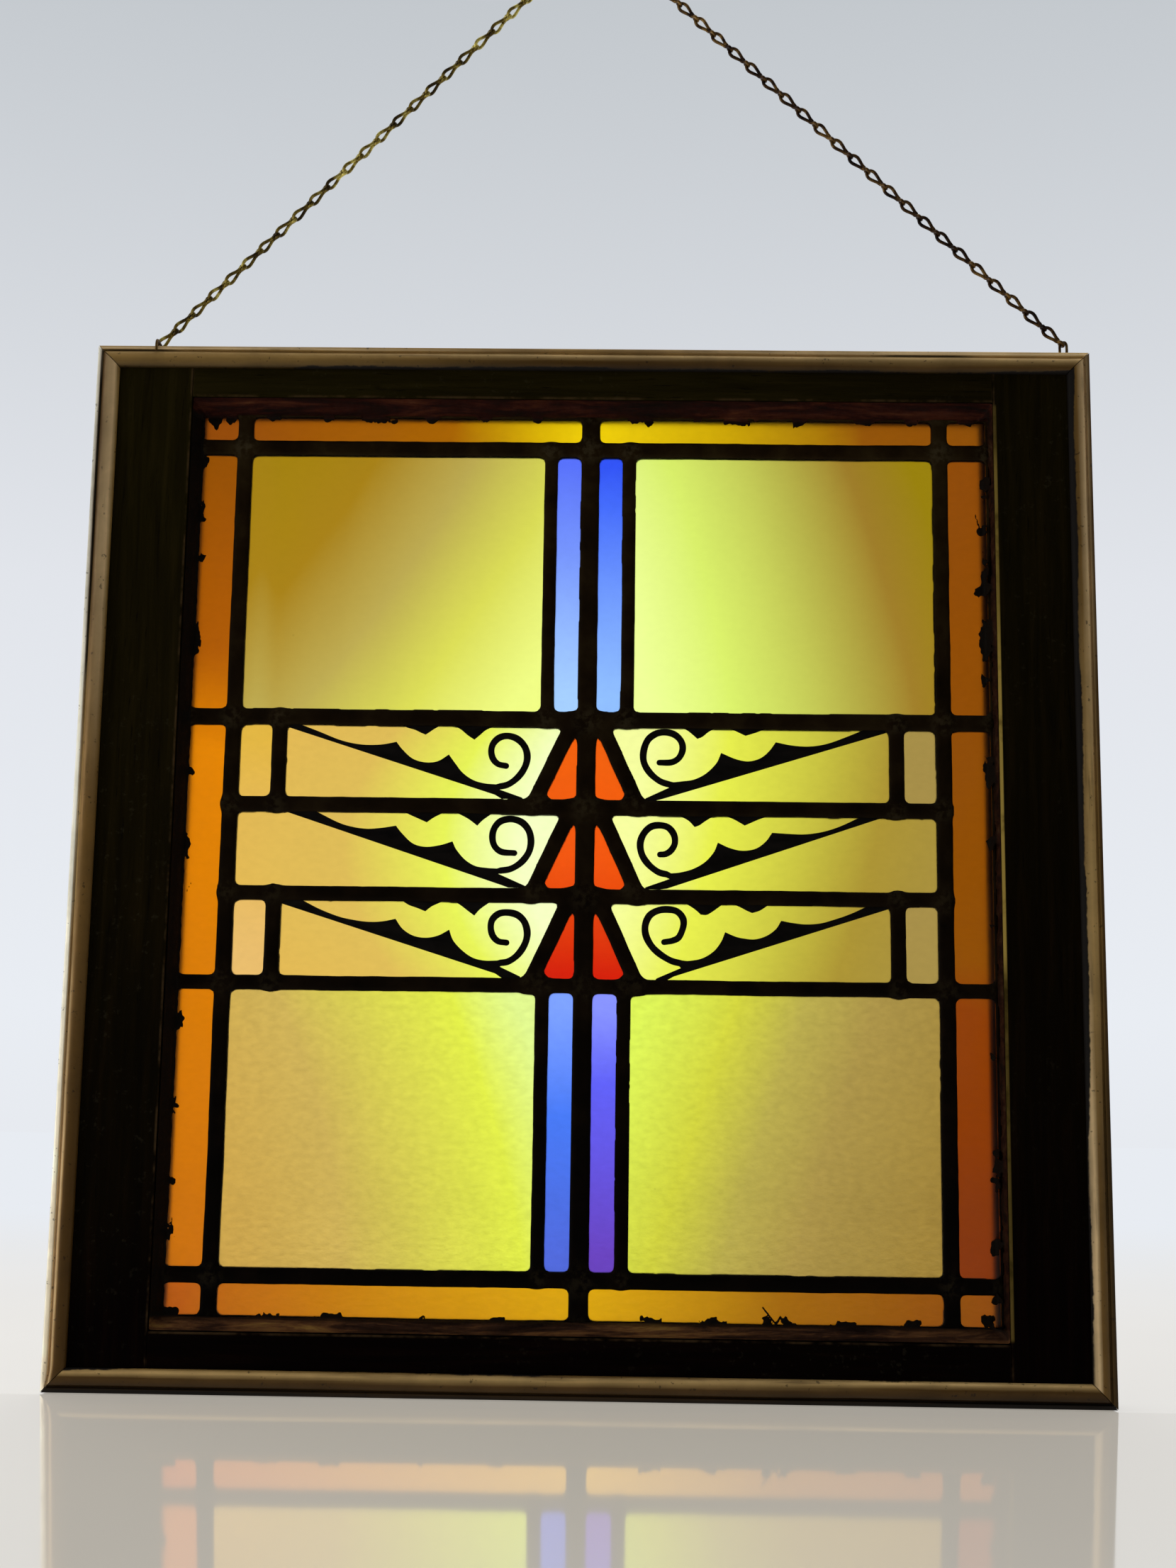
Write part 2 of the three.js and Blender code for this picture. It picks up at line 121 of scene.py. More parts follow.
class Tree:
    """A material's node tree, with short ways to add and join nodes."""

    def __init__(self, name):
        self.material = bpy.data.materials.new(name)
        self.material.use_nodes = True
        self.t = self.material.node_tree
        self.t.nodes.clear()
        self.out = self.add("ShaderNodeOutputMaterial")
        self.bsdf = self.add("ShaderNodeBsdfPrincipled")
        self.t.links.new(self.bsdf.outputs[0], self.out.inputs["Surface"])
        self.coords = None

    def add(self, kind, **props):
        n = self.t.nodes.new(kind)
        for k, v in props.items():
            setattr(n, k, v)
        return n

    def put(self, socket, value):
        if isinstance(value, bpy.types.NodeSocket):
            self.t.links.new(value, socket)
        elif hasattr(socket.default_value, "__len__"):
            v = list(value)
            n = len(socket.default_value)
            socket.default_value = v + [1.0] * (n - len(v)) if len(v) < n else v[:n]
        else:
            socket.default_value = value

    def set(self, **inputs):
        for k, v in inputs.items():
            self.put(self.bsdf.inputs[k.replace("_", " ")], v)

    def obj(self):
        if self.coords is None:
            self.coords = self.add("ShaderNodeTexCoord").outputs["Object"]
        return self.coords

    def math(self, op, a, b=0.0, c=None, clamp=False):
        n = self.add("ShaderNodeMath", operation=op, use_clamp=clamp)
        self.put(n.inputs[0], a)
        self.put(n.inputs[1], b)
        if c is not None:
            self.put(n.inputs[2], c)
        return n.outputs[0]

    def dot(self, v, axis):
        n = self.add("ShaderNodeVectorMath", operation="DOT_PRODUCT")
        self.put(n.inputs[0], v)
        self.put(n.inputs[1], axis)
        return n.outputs["Value"]

    def axis(self, k):
        """Row-frame coordinate k of the surface point, in panel millimetres."""
        at = (0.0, Y0, Z0)[k]
        unit = [0.0, 0.0, 0.0]
        unit[k] = 1 / MM
        d = self.dot(self.obj(), unit)
        return self.math("SUBTRACT", d, at / MM)

    def scaled(self, scale, rotate=(0, 0, 0)):
        n = self.add("ShaderNodeMapping")
        self.put(n.inputs["Vector"], self.obj())
        self.put(n.inputs["Scale"], scale)
        self.put(n.inputs["Rotation"], rotate)
        return n.outputs[0]

    def noise(self, scale, detail=3.0, rough=0.55, stretch=(1, 1, 1), distortion=0.0, vector=None):
        n = self.add("ShaderNodeTexNoise")
        self.put(n.inputs["Vector"], vector if vector is not None else self.scaled(stretch))
        self.put(n.inputs["Scale"], scale)
        self.put(n.inputs["Detail"], detail)
        self.put(n.inputs["Roughness"], rough)
        self.put(n.inputs["Distortion"], distortion)
        return n.outputs[0]

    def ramp(self, fac, stops, mode="LINEAR"):
        n = self.add("ShaderNodeValToRGB")
        n.color_ramp.interpolation = mode
        e = n.color_ramp.elements
        stops = sorted(stops, key=lambda s: s[0])
        while len(e) < len(stops):
            e.new(0.5)
        for i, (at, colour) in enumerate(stops):
            e[i].position = min(max(at, 0.0), 1.0)
            c = list(colour) if hasattr(colour, "__len__") else [colour] * 3
            e[i].color = c[:3] + [1.0]
        self.put(n.inputs[0], fac)
        return n.outputs[0]

    def range(self, v, a, b, lo=0.0, hi=1.0, smooth=True):
        n = self.add("ShaderNodeMapRange", interpolation_type="SMOOTHSTEP" if smooth else "LINEAR", clamp=True)
        self.put(n.inputs["Value"], v)
        self.put(n.inputs["From Min"], a)
        self.put(n.inputs["From Max"], b)
        self.put(n.inputs["To Min"], lo)
        self.put(n.inputs["To Max"], hi)
        return n.outputs[0]

    def mix(self, fac, a, b, blend="MIX"):
        n = self.add("ShaderNodeMix", data_type="RGBA", blend_type=blend, clamp_factor=True)
        self.put(n.inputs[0], fac)
        self.put(n.inputs[6], a)
        self.put(n.inputs[7], b)
        return n.outputs[2]

    def value(self, name):
        n = self.add("ShaderNodeAttribute", attribute_name=name)
        return n.outputs["Fac"]

    def bump(self, height, distance, strength=1.0, normal=None):
        n = self.add("ShaderNodeBump")
        self.put(n.inputs["Height"], height)
        self.put(n.inputs["Distance"], distance)
        self.put(n.inputs["Strength"], strength)
        if normal is not None:
            self.put(n.inputs["Normal"], normal)
        self.put(self.bsdf.inputs["Normal"], n.outputs[0])
        return n.outputs[0]


GAIN = 1 / 1.30        # what the glass lets through of the light behind it gives the wanted tint


def tints(stops, gain=1.0):
    return [(at, [min(v * GAIN * gain, 1.0) for v in lin(c)]) for at, c in stops]


def glass(name, colour, ripple=0.35, rough=0.32, waves=1.0):
    """Finishes a glass material: colour(tree) gives its tint. Rolled glass with a fine ripple, seeds and a soft haze."""
    t = Tree(name)
    tint = colour(t)
    fine = t.noise(260.0, 2.0, 0.5, stretch=(1.0, 1.0, 1.7))
    broad = t.noise(24.0, 2.0, 0.5, stretch=(1.5, 1.0, 0.8))
    # seeds: a few tiny darker specks
    cells = t.add("ShaderNodeTexVoronoi", feature="F1")
    t.put(cells.inputs["Vector"], t.scaled((1.0, 1.0, 1.0)))
    t.put(cells.inputs["Scale"], 42.0)
    t.put(cells.inputs["Randomness"], 1.0)
    seed = t.range(cells.outputs["Distance"], 0.012, 0.030, 0.80, 1.0)
    shade = t.range(fine, 0.32, 0.68, 1.0 - 0.10 * ripple, 1.0 + 0.05 * ripple, smooth=False)
    shade = t.math("MULTIPLY", shade, seed)
    # painted light: the tints are raised towards the foot of the panel to make up for less of the bright backdrop
    # behind it
    shade = t.math("MULTIPLY", shade, t.range(t.axis(2), 30.0, 76.0, 1.30, 1.04, smooth=False))
    tint = t.mix(1.0, tint, shade, "MULTIPLY")
    t.set(Base_Color=tint, Metallic=0.0, IOR=1.46, Specular_IOR_Level=0.07, Transmission_Weight=1.0)
    t.set(Roughness=t.range(broad, 0.3, 0.7, rough - 0.04, rough + 0.05))
    height = t.math("MULTIPLY_ADD", fine, 0.35 * ripple, t.math("MULTIPLY", broad, waves))
    t.bump(height, 0.0006, 0.5)
    return t.material


def pane(xc, zc, bend, lo, hi, stops, streak=0.03, gain=1.0, edge=None):
    """A tint that drifts across a pane along one gently curved direction: partly the glass's own colour, partly a
    painted glow of the light behind the panel. edge lifts it near a side: from x, to x, amount.
    """
    def colour(t):
        x = t.math("MULTIPLY_ADD", t.axis(0), 1 / 60, -xc / 60)
        z = t.math("MULTIPLY_ADD", t.axis(2), 1 / 60, -zc / 60)
        turn = t.math("MULTIPLY_ADD", z, bend[1], t.math("MULTIPLY_ADD", x, bend[2], bend[0]))
        f = t.range(t.math("MULTIPLY_ADD", z, turn, x), lo, hi, smooth=False)
        drift = t.noise(9.0, 3.0, 0.5, stretch=(1.7, 1.0, 0.45), distortion=0.6)
        f = t.math("MULTIPLY_ADD", t.math("SUBTRACT", drift, 0.5), 2.2 * streak, f)
        if edge:
            f = t.math("ADD", f, t.range(t.axis(0), edge[0], edge[1], 0.0, edge[2]))
        return t.ramp(f, tints(stops, gain))
    return colour


def along(k, lo, hi, stops, gain=1.0, streak=0.04):
    """A tint that changes along one axis, between two panel coordinates, partly the glass's own colour and partly a
    painted glow of the light behind the panel; stops are given in that coordinate.
    """
    def colour(t):
        drift = t.noise(14.0, 3.0, 0.5, distortion=0.8)
        f = t.range(t.axis(k), lo, hi, smooth=False)
        f = t.math("MULTIPLY_ADD", t.math("SUBTRACT", drift, 0.5), 2 * streak, f)
        return t.ramp(f, tints([((at - lo) / (hi - lo), c) for at, c in stops], gain))
    return colour


# painted light: the tints below mostly run from deeper, darker colours near the panel's edges to paler, brighter ones
# towards its middle; this is partly the glass's own streaky colour and partly a painted glow of the light behind the
# panel
MATERIALS = {
    "yellow_ul": glass("glass_yellow_upper_left", pane(-85.8, 346.4, (-0.641, 0.02, 0.017), -1.513, 1.513, [(0.00, (165, 130, 10)), (0.25, (170, 130, 20)), (0.50, (190, 170, 80)), (0.75, (220, 220, 85)), (1.00, (240, 250, 130))], 0.035, 1.0, (-136.0, -147.0, 0.10)), ripple=0.25),
    "yellow_ur": glass("glass_yellow_upper_right", pane(84.8, 347.2, (0.253, 0.053, -0.001), -1.167, 1.232, [(0.00, (240, 255, 150)), (0.25, (220, 240, 105)), (0.81, (160, 125, 40)), (1.00, (155, 130, 10))], 0.025), ripple=0.25),
    "yellow_ll": glass("glass_yellow_lower_left", pane(-85.8, 104.8, (0.275, 0.099, 0.018), -1.158, 1.303, [(0.00, (205, 165, 75)), (0.31, (205, 175, 85)), (0.81, (225, 235, 70)), (1.00, (225, 245, 140))], 0.03), ripple=1.1),
    "yellow_lr": glass("glass_yellow_lower_right", pane(85.6, 104.8, (-0.323, -0.02, 0.019), -1.281, 1.219, [(0.00, (220, 240, 85)), (0.25, (210, 210, 60)), (0.45, (185, 170, 75)), (0.65, (170, 145, 70)), (1.00, (160, 130, 55))], 0.025), ripple=1.1),
    "yellow_bl": glass("glass_yellow_band_left", pane(-85.8, 226.8, (0.004, -0.464, 0.019), -1.356, 0.981, [(0.00, (225, 180, 80)), (0.44, (220, 185, 85)), (0.75, (230, 240, 85)), (1.00, (245, 255, 190))], 0.025), ripple=0.5),
    "yellow_br": glass("glass_yellow_band_right", pane(85.2, 226.0, (-0.230, 0.077, -0.003), -1.129, 1.260, [(0.00, (245, 250, 155)), (0.25, (230, 235, 75)), (0.75, (170, 145, 50)), (1.00, (165, 140, 60))], 0.025), ripple=0.5),
    "amber_top": glass("glass_amber_top", along(0, -180, 180, [(-166, (150, 75, 5)), (-62, (170, 100, 0)), (0, (245, 210, 5)), (124, (150, 85, 5)), (166, (145, 80, 5))]), ripple=0.5),
    "amber_bottom": glass("glass_amber_bottom", along(0, -180, 180, [(-166, (185, 90, 5)), (0, (225, 170, 0)), (83, (165, 105, 0)), (166, (145, 75, 0))]), ripple=0.6),
    "amber_side": glass("glass_amber_side", along(2, 40, 410, [(55, (200, 110, 0)), (271, (225, 130, 0)), (314, (175, 90, 0)), (400, (150, 80, 0))]), ripple=0.5),
    "orange_side": glass("glass_orange_side", along(2, 40, 410, [(55, (130, 50, 0)), (163, (140, 60, 0)), (184, (140, 75, 0)), (400, (145, 75, 5))]), ripple=0.5),
    "small_left": glass("glass_tan_left", along(2, 160, 290, [(180, (230, 185, 105)), (276, (225, 180, 65))]), ripple=0.5),
    "small_right": glass("glass_tan_right", along(2, 160, 290, [(180, (165, 140, 70)), (276, (165, 140, 70))]), ripple=0.5),
    "blue_left_upper": glass("glass_blue_left_upper", along(2, 280, 412, [(295, (165, 205, 250)), (361, (120, 150, 250)), (400, (90, 115, 250))]), ripple=0.4),
    "blue_right_upper": glass("glass_blue_right_upper", along(2, 280, 412, [(295, (145, 190, 250)), (380, (70, 110, 250)), (400, (50, 85, 245))]), ripple=0.4),
    "blue_left_lower": glass("glass_blue_left_lower", along(2, 40, 170, [(55, (80, 105, 220)), (113, (70, 120, 240)), (158, (125, 160, 255))]), ripple=0.6),
    "purple": glass("glass_purple", along(2, 40, 170, [(55, (105, 65, 190)), (126, (95, 95, 240)), (158, (135, 145, 250))]), ripple=0.6),
    "red": glass("glass_red", along(2, 165, 285, [(172, (210, 30, 5)), (224, (240, 85, 10)), (265, (240, 95, 10))]), ripple=0.4),
}


def wood(name, along_axis):
    """Near-black stained wood: straight grain along one axis, worn arrises round the opening, dust and fine scratches."""
    t = Tree(name)
    s = [9.0, 9.0, 9.0]
    s[along_axis] = 0.55
    grain = t.noise(26.0, 6.0, 0.62, stretch=s, distortion=0.5)
    pores = t.noise(120.0, 3.0, 0.6, stretch=s)
    cloud = t.noise(7.0, 3.0, 0.5)
    x, y, z = t.axis(0), t.axis(1), t.axis(2)
    # lighter olive brown towards the head and black at the foot, and darker towards the right
    headward = t.range(t.math("MULTIPLY_ADD", t.math("SUBTRACT", cloud, 0.5), 160.0, z), 30.0, 430.0, smooth=False)
    deep = t.ramp(grain, [(0.25, (0.0006, 0.0002, 0.0001)), (0.50, (0.0018, 0.0004, 0.0002)), (0.74, (0.0050, 0.0014, 0.0007))])
    pale = t.ramp(grain, [(0.25, (0.0078, 0.0056, 0.0008)), (0.50, (0.0150, 0.0115, 0.0016)), (0.74, (0.0240, 0.0180, 0.0036))])
    base = t.mix(headward, deep, pale)
    base = t.mix(t.range(x, 60.0, 190.0, 0.0, 0.38), base, deep)
    base = t.mix(t.range(pores, 0.62, 0.72, 0.0, 0.7), base, (0.0014, 0.0008, 0.0004))
    # bare wood shows where the arrises of the opening are rubbed
    rub = t.noise(55.0, 4.0, 0.7)
    off_x = t.math("ABSOLUTE", t.math("SUBTRACT", t.math("ABSOLUTE", x), 178.4))
    off_lo = t.math("ABSOLUTE", t.math("SUBTRACT", z, 22.2))
    off_hi = t.math("ABSOLUTE", t.math("SUBTRACT", z, 427.8))
    past = t.range(t.math("ABSOLUTE", x), 178.4, 179.6, 0.0, 9.0)
    off = t.math("MINIMUM", off_x, t.math("ADD", past, t.math("MINIMUM", off_lo, off_hi)))
    band = t.range(t.math("ADD", off, t.math("MULTIPLY", t.math("ABSOLUTE", y), 0.7)), 0.25, 0.95, 1.0, 0.0)
    worn = t.math("MULTIPLY", band, t.range(rub, 0.42, 0.62))
    base = t.mix(t.math("MULTIPLY", worn, 0.55), base, (0.085, 0.052, 0.024))
    # a thin pale tan line along the right arris, over part of its height
    line = t.range(t.math("ADD", t.math("ABSOLUTE", t.math("SUBTRACT", x, 178.45)), t.math("MULTIPLY", t.math("ABSOLUTE", y), 0.5)), 0.75, 1.25, 1.0, 0.0)
    reach = t.math("MULTIPLY", t.range(z, 168.0, 185.0, 0.22, 1.0), t.range(z, 300.0, 345.0, 1.0, 0.50))
    reach = t.math("MULTIPLY", reach, t.math("MULTIPLY", t.range(z, 23.0, 25.0), t.range(z, 395.0, 412.0, 1.0, 0.30)))
    reach = t.math("MULTIPLY", reach, t.range(z, 425.0, 427.0, 1.0, 0.0))
    reach = t.math("MULTIPLY", reach, t.range(rub, 0.30, 0.50, 0.45, 1.0))
    base = t.mix(t.math("MULTIPLY", line, reach), base, (0.52, 0.37, 0.085))
    # pale dust caught in the grain
    dust = t.math("MULTIPLY", t.range(t.noise(300.0, 2.0, 0.7), 0.60, 0.74), t.range(cloud, 0.40, 0.62))
    base = t.mix(t.math("MULTIPLY", dust, 0.10), base, (0.10, 0.09, 0.06))
    t.set(Base_Color=base, Specular_IOR_Level=0.02)
    t.set(Roughness=t.range(grain, 0.25, 0.75, 0.62, 0.46))
    first = t.bump(grain, 0.00035, 0.55)
    t.bump(pores, 0.00012, 0.35, first)
    return t.material


TRIM_LIGHT = 0.42      # what a matt front face of the trim gives back of its own colour in this light


def trim_metal(name, k, zones, dirt, groove=(), bright=None):
    """Thin tarnished metal strip, with lit and shaded colours painted on. u_mm, stored on the mesh, is the distance in
    from the outer edge, and the
    painted light follows it: pale painted highlight where the lip and crest face the light, brown painted shade where
    they turn from it. zones lists places along axis k with their colours over u;
    dirt lists places with the u where old black paint starts; groove lists stretches where painted shade in the hollow
    is deepest;
    bright gives two places between which the lip's bare polished metal dulls."""
    t = Tree(name)
    u, s = t.value("u_mm"), t.axis(k)
    f = t.math("MULTIPLY", u, 1 / 10.5)
    blotch = t.noise(38.0, 5.0, 0.62, distortion=0.4)
    run = [4.0, 4.0, 4.0]
    run[k] = 0.30
    streaks = t.noise(60.0, 4.0, 0.6, stretch=run)
    wander = t.math("MULTIPLY_ADD", t.math("SUBTRACT", streaks, 0.5), 0.16, f)
    base, here = None, None
    for place, stops in zones:
        c = t.ramp(wander, [(at / 10.5, [min(v / TRIM_LIGHT, 0.98) for v in lin(c)]) for at, c in stops])
        base = c if base is None else t.mix(t.range(s, here, place), base, c)
        here = place
    shade = t.range(blotch, 0.30, 0.70, 0.80, 1.18, smooth=False)
    base = t.mix(1.0, base, shade, "MULTIPLY")
    base = t.mix(t.range(streaks, 0.58, 0.76, 0.0, 0.45), base, (0.060, 0.032, 0.010))
    # the wandering edge of old black paint along the inner side of the bead
    start, here = dirt[0][1], dirt[0][0]
    for place, level in dirt[1:]:
        rise = t.range(s, here, place, 0.0, level - dirt[[d[0] for d in dirt].index(here)][1])
        start = t.math("ADD", start, rise)
        here = place
    slow = t.noise(16.0, 2.0, 0.5, distortion=0.5)
    fine = t.noise(130.0, 5.0, 0.75, distortion=0.8)
    edge = t.math("MULTIPLY_ADD", t.math("SUBTRACT", slow, 0.5), 3.4, u)
    edge = t.math("MULTIPLY_ADD", t.math("SUBTRACT", fine, 0.5), 1.9, edge)
    black = t.range(t.math("SUBTRACT", edge, start), -0.15, 0.45)
    # painted shade in the hollow between lip and bead: faint all along, deep along the groove stretches
    hollow = t.math("MULTIPLY", t.range(u, 1.75, 2.05), t.range(u, 2.45, 3.10, 1.0, 0.0))
    hollow_shade = 0.12
    for lo, hi in groove:
        hollow_shade = t.math("MAXIMUM", hollow_shade, t.math("MULTIPLY", t.range(s, lo - 8.0, lo + 8.0), t.range(s, hi - 8.0, hi + 8.0, 1.0, 0.0)))
    specks = t.math("MULTIPLY", t.range(t.noise(420.0, 2.0, 0.6), 0.66, 0.72), 0.6)
    dark = t.math("MAXIMUM", t.math("MAXIMUM", black, t.math("MULTIPLY", hollow, t.math("MULTIPLY", hollow_shade, 0.85))), specks)
    base = t.mix(dark, base, (0.0034, 0.0016, 0.0008))
    metal = t.range(dark, 0.0, 1.0, 0.30, 0.0)
    if bright:
        lip = t.math("MULTIPLY", t.range(u, 2.6, 3.8, 0.9, 0.0), t.range(s, bright[0], bright[1], 1.0, 0.0))
        metal = t.math("MAXIMUM", metal, lip)
    t.set(Base_Color=base, Metallic=metal, Specular_IOR_Level=0.25)
    rough = t.range(blotch, 0.3, 0.7, 0.52, 0.36)
    t.set(Roughness=t.math("MAXIMUM", rough, t.math("MULTIPLY", dark, 0.7)))
    t.bump(t.math("MULTIPLY_ADD", streaks, 0.5, blotch), 0.00025, 0.35)
    return t.material


# one scale of colours for all four strips, from near black to cream: tarnish browns, with the dark steps also used as
# painted shade and the tan, pale and cream steps as painted highlight
NEAR_BLACK, UMBER, BROWN, BRONZE, BRASS, TAN, PALE, CREAM = (5, 2, 0), (35, 25, 8), (60, 42, 16), (90, 68, 34), (120, 96, 54), (148, 124, 80), (170, 148, 112), (172, 170, 158)

# each side's colours over u are lit and shaded copies of one metal: painted highlight on faces turned to the light,
# such as the cream outer lip on the left, painted shade on faces turned away, and painted shadow on the bottom strip's
# lip where it meets the table
TRIM_LEFT = [
    (75, [(0, CREAM), (3, PALE), (4.5, BRONZE), (5, BROWN), (10, BROWN)]),
    (225, [(0, CREAM), (1.5, CREAM), (2.5, TAN), (3.5, BRONZE), (10, BRONZE)]),
    (375, [(0, CREAM), (2.5, BROWN), (3.5, BROWN), (8.5, PALE), (10, BRASS)]),
]
TRIM_RIGHT = [
    (75, [(0, UMBER), (6, BRONZE), (7.5, PALE), (8, PALE), (10, UMBER)]),
    (225, [(0, BROWN), (1, BROWN), (2.5, BRASS), (5.5, TAN), (10, BROWN)]),
    (375, [(0, BROWN), (0.5, BROWN), (3.5, PALE), (6.5, BRONZE), (10, UMBER)]),
]
TRIM_TOP = [
    (-160, [(0, BRASS), (1.5, PALE), (2, BRASS), (5.5, BRASS), (10, UMBER)]),
    (0, [(0, BRASS), (1.5, BRONZE), (2.5, TAN), (6.5, BROWN), (10, NEAR_BLACK)]),
    (160, [(0, TAN), (1.5, PALE), (2, TAN), (8, BROWN), (10, UMBER)]),
]
TRIM_BOTTOM = [
    (-160, [(0, NEAR_BLACK), (1, NEAR_BLACK), (6.5, BROWN), (8.5, TAN), (10, BRASS)]),
    (0, [(0, NEAR_BLACK), (5.5, BROWN), (8, TAN), (8.5, TAN), (10, BRONZE)]),
    (160, [(0, NEAR_BLACK), (2, NEAR_BLACK), (7, BROWN), (9, TAN), (10, TAN)]),
]


def lead_material():
    """Blackened lead came: dull brown patina, paler towards the head, scratches, brighter tinned patches on the joints."""
    t = Tree("lead_came")
    patina = t.noise(55.0, 5.0, 0.6, distortion=0.3)
    fine = t.noise(380.0, 3.0, 0.6)
    high = t.range(t.axis(2), 90.0, 425.0, smooth=False)
    low = t.ramp(patina, [(0.25, (0.0006, 0.0003, 0.0002)), (0.50, (0.0022, 0.0010, 0.0005)), (0.75, (0.0065, 0.0030, 0.0015))])
    top = t.ramp(patina, [(0.25, (0.0070, 0.0036, 0.0010)), (0.50, (0.0185, 0.0100, 0.0024)), (0.75, (0.0340, 0.0225, 0.0070))])
    base = t.mix(high, low, top)
    solder = t.math("MULTIPLY", t.value("solder"), t.range(fine, 0.40, 0.62))
    base = t.mix(t.math("MULTIPLY", solder, t.range(high, 0.2, 1.0, 0.18, 0.55)), base, (0.070, 0.056, 0.030))
    t.set(Base_Color=base, Metallic=0.08, Specular_IOR_Level=0.04)
    t.set(Roughness=t.range(t.math("MULTIPLY_ADD", solder, -0.35, patina), 0.0, 0.9, 0.36, 0.68))
    t.bump(t.math("MULTIPLY_ADD", fine, 0.35, patina), 0.00030, 0.5)
    return t.material


def putty_material():
    """Old glazing putty under black paint: crumbly, with red-brown streaks along the head and paler brown at the foot."""
    t = Tree("putty")
    streak = t.noise(90.0, 5.0, 0.68, stretch=(0.28, 1.6, 2.2), distortion=0.5)
    patch = t.noise(11.0, 3.0, 0.5)
    crumb = t.noise(520.0, 4.0, 0.7)
    z, x = t.axis(2), t.axis(0)
    base = t.ramp(crumb, [(0.3, (0.0022, 0.0014, 0.0008)), (0.6, (0.0070, 0.0042, 0.0022)), (0.8, (0.016, 0.010, 0.005))])
    sides = t.ramp(streak, [(0.40, (0.010, 0.0022, 0.0012)), (0.56, (0.038, 0.011, 0.0045)), (0.75, (0.080, 0.046, 0.020))])
    base = t.mix(t.math("MULTIPLY", t.range(x, 176.4, 177.4), 0.8), base, sides)
    head = t.ramp(streak, [(0.34, (0.0050, 0.0012, 0.0008)), (0.50, (0.024, 0.0040, 0.0022)), (0.64, (0.060, 0.0150, 0.0060)), (0.80, (0.13, 0.055, 0.020))])
    foot = t.ramp(t.math("MULTIPLY_ADD", t.math("SUBTRACT", patch, 0.5), 0.55, streak), [(0.34, (0.0075, 0.0022, 0.0012)), (0.48, (0.042, 0.017, 0.0080)), (0.60, (0.150, 0.064, 0.022)), (0.76, (0.34, 0.20, 0.045))])
    base = t.mix(t.math("MULTIPLY", t.range(z, 419.5, 422.5), t.range(streak, 0.34, 0.56, 0.55, 1.0)), base, head)
    base = t.mix(t.range(z, 26.0, 28.6, 1.0, 0.0), base, foot)
    t.set(Base_Color=base, Specular_IOR_Level=0.08)
    t.set(Roughness=t.range(crumb, 0.3, 0.7, 0.55, 0.85))
    t.bump(t.math("MULTIPLY_ADD", crumb, 0.5, streak), 0.0004, 0.6)
    return t.material


def paint_material():
    """Fired black trace paint: opaque, slightly uneven, with a dull sheen."""
    t = Tree("trace_paint")
    brush = t.noise(150.0, 4.0, 0.6, stretch=(0.7, 1, 1.8))
    t.set(Base_Color=t.ramp(brush, [(0.3, (0.0012, 0.0008, 0.0008)), (0.6, (0.0034, 0.0022, 0.0018)), (0.8, (0.0080, 0.0055, 0.0040))]))
    t.set(Roughness=t.range(brush, 0.3, 0.7, 0.42, 0.66), Specular_IOR_Level=0.12)
    t.bump(brush, 0.00006, 0.5)
    return t.material


def chain_material(name, dark, mid, hi, metal):
    """Brass wire gone brown, brighter in patches spread by noise; the hi stop stands in for painted highlight."""
    t = Tree(name)
    tarnish = t.noise(170.0, 4.0, 0.6, distortion=0.4)
    drift = t.noise(16.0, 2.0, 0.5)
    f = t.math("MULTIPLY_ADD", t.math("SUBTRACT", drift, 0.5), 0.35, tarnish)
    t.set(Base_Color=t.ramp(f, [(0.36, dark), (0.50, mid), (0.68, hi)]), Metallic=metal, Specular_IOR_Level=0.3)
    t.set(Roughness=t.range(tarnish, 0.3, 0.7, 0.50, 0.28))
    t.bump(tarnish, 0.00008, 0.35)
    return t.material


# ------------------------------------------------------------------ pieces
def make(name, verts, polys, material, replaced=(), smooth=40.0, values=None):
    """A mesh piece from panel-millimetre points; polys is a list of arrays, one array per polygon size."""
    me = bpy.data.meshes.new(name)
    v = P(verts)
    groups = [np.asarray(p, np.int32).reshape(len(p), -1) for p in polys if len(p)]
    loops = np.concatenate([g.ravel() for g in groups])
    sizes = np.concatenate([np.full(len(g), g.shape[1], np.int32) for g in groups])
    starts = np.concatenate([[0], np.cumsum(sizes)[:-1]]).astype(np.int32)
    me.vertices.add(len(v))
    me.vertices.foreach_set("co", v.astype(np.float32).ravel())
    me.loops.add(len(loops))
    me.loops.foreach_set("vertex_index", loops.astype(np.int32))
    me.polygons.add(len(sizes))
    me.polygons.foreach_set("loop_start", starts)
    me.polygons.foreach_set("loop_total", sizes)
    me.update(calc_edges=True)
    me.validate()
    for key, data in (values or {}).items():
        a = me.attributes.new(key, "FLOAT", "POINT")
        a.data.foreach_set("value", np.asarray(data, np.float32))
    me.shade_smooth()
    me.set_sharp_from_angle(angle=math.radians(smooth))
    me.materials.append(material)
    o = bpy.data.objects.new(name, me)
    bpy.context.scene.collection.objects.link(o)
    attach(o, "root")
    if replaced:
        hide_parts(*replaced)
    return o


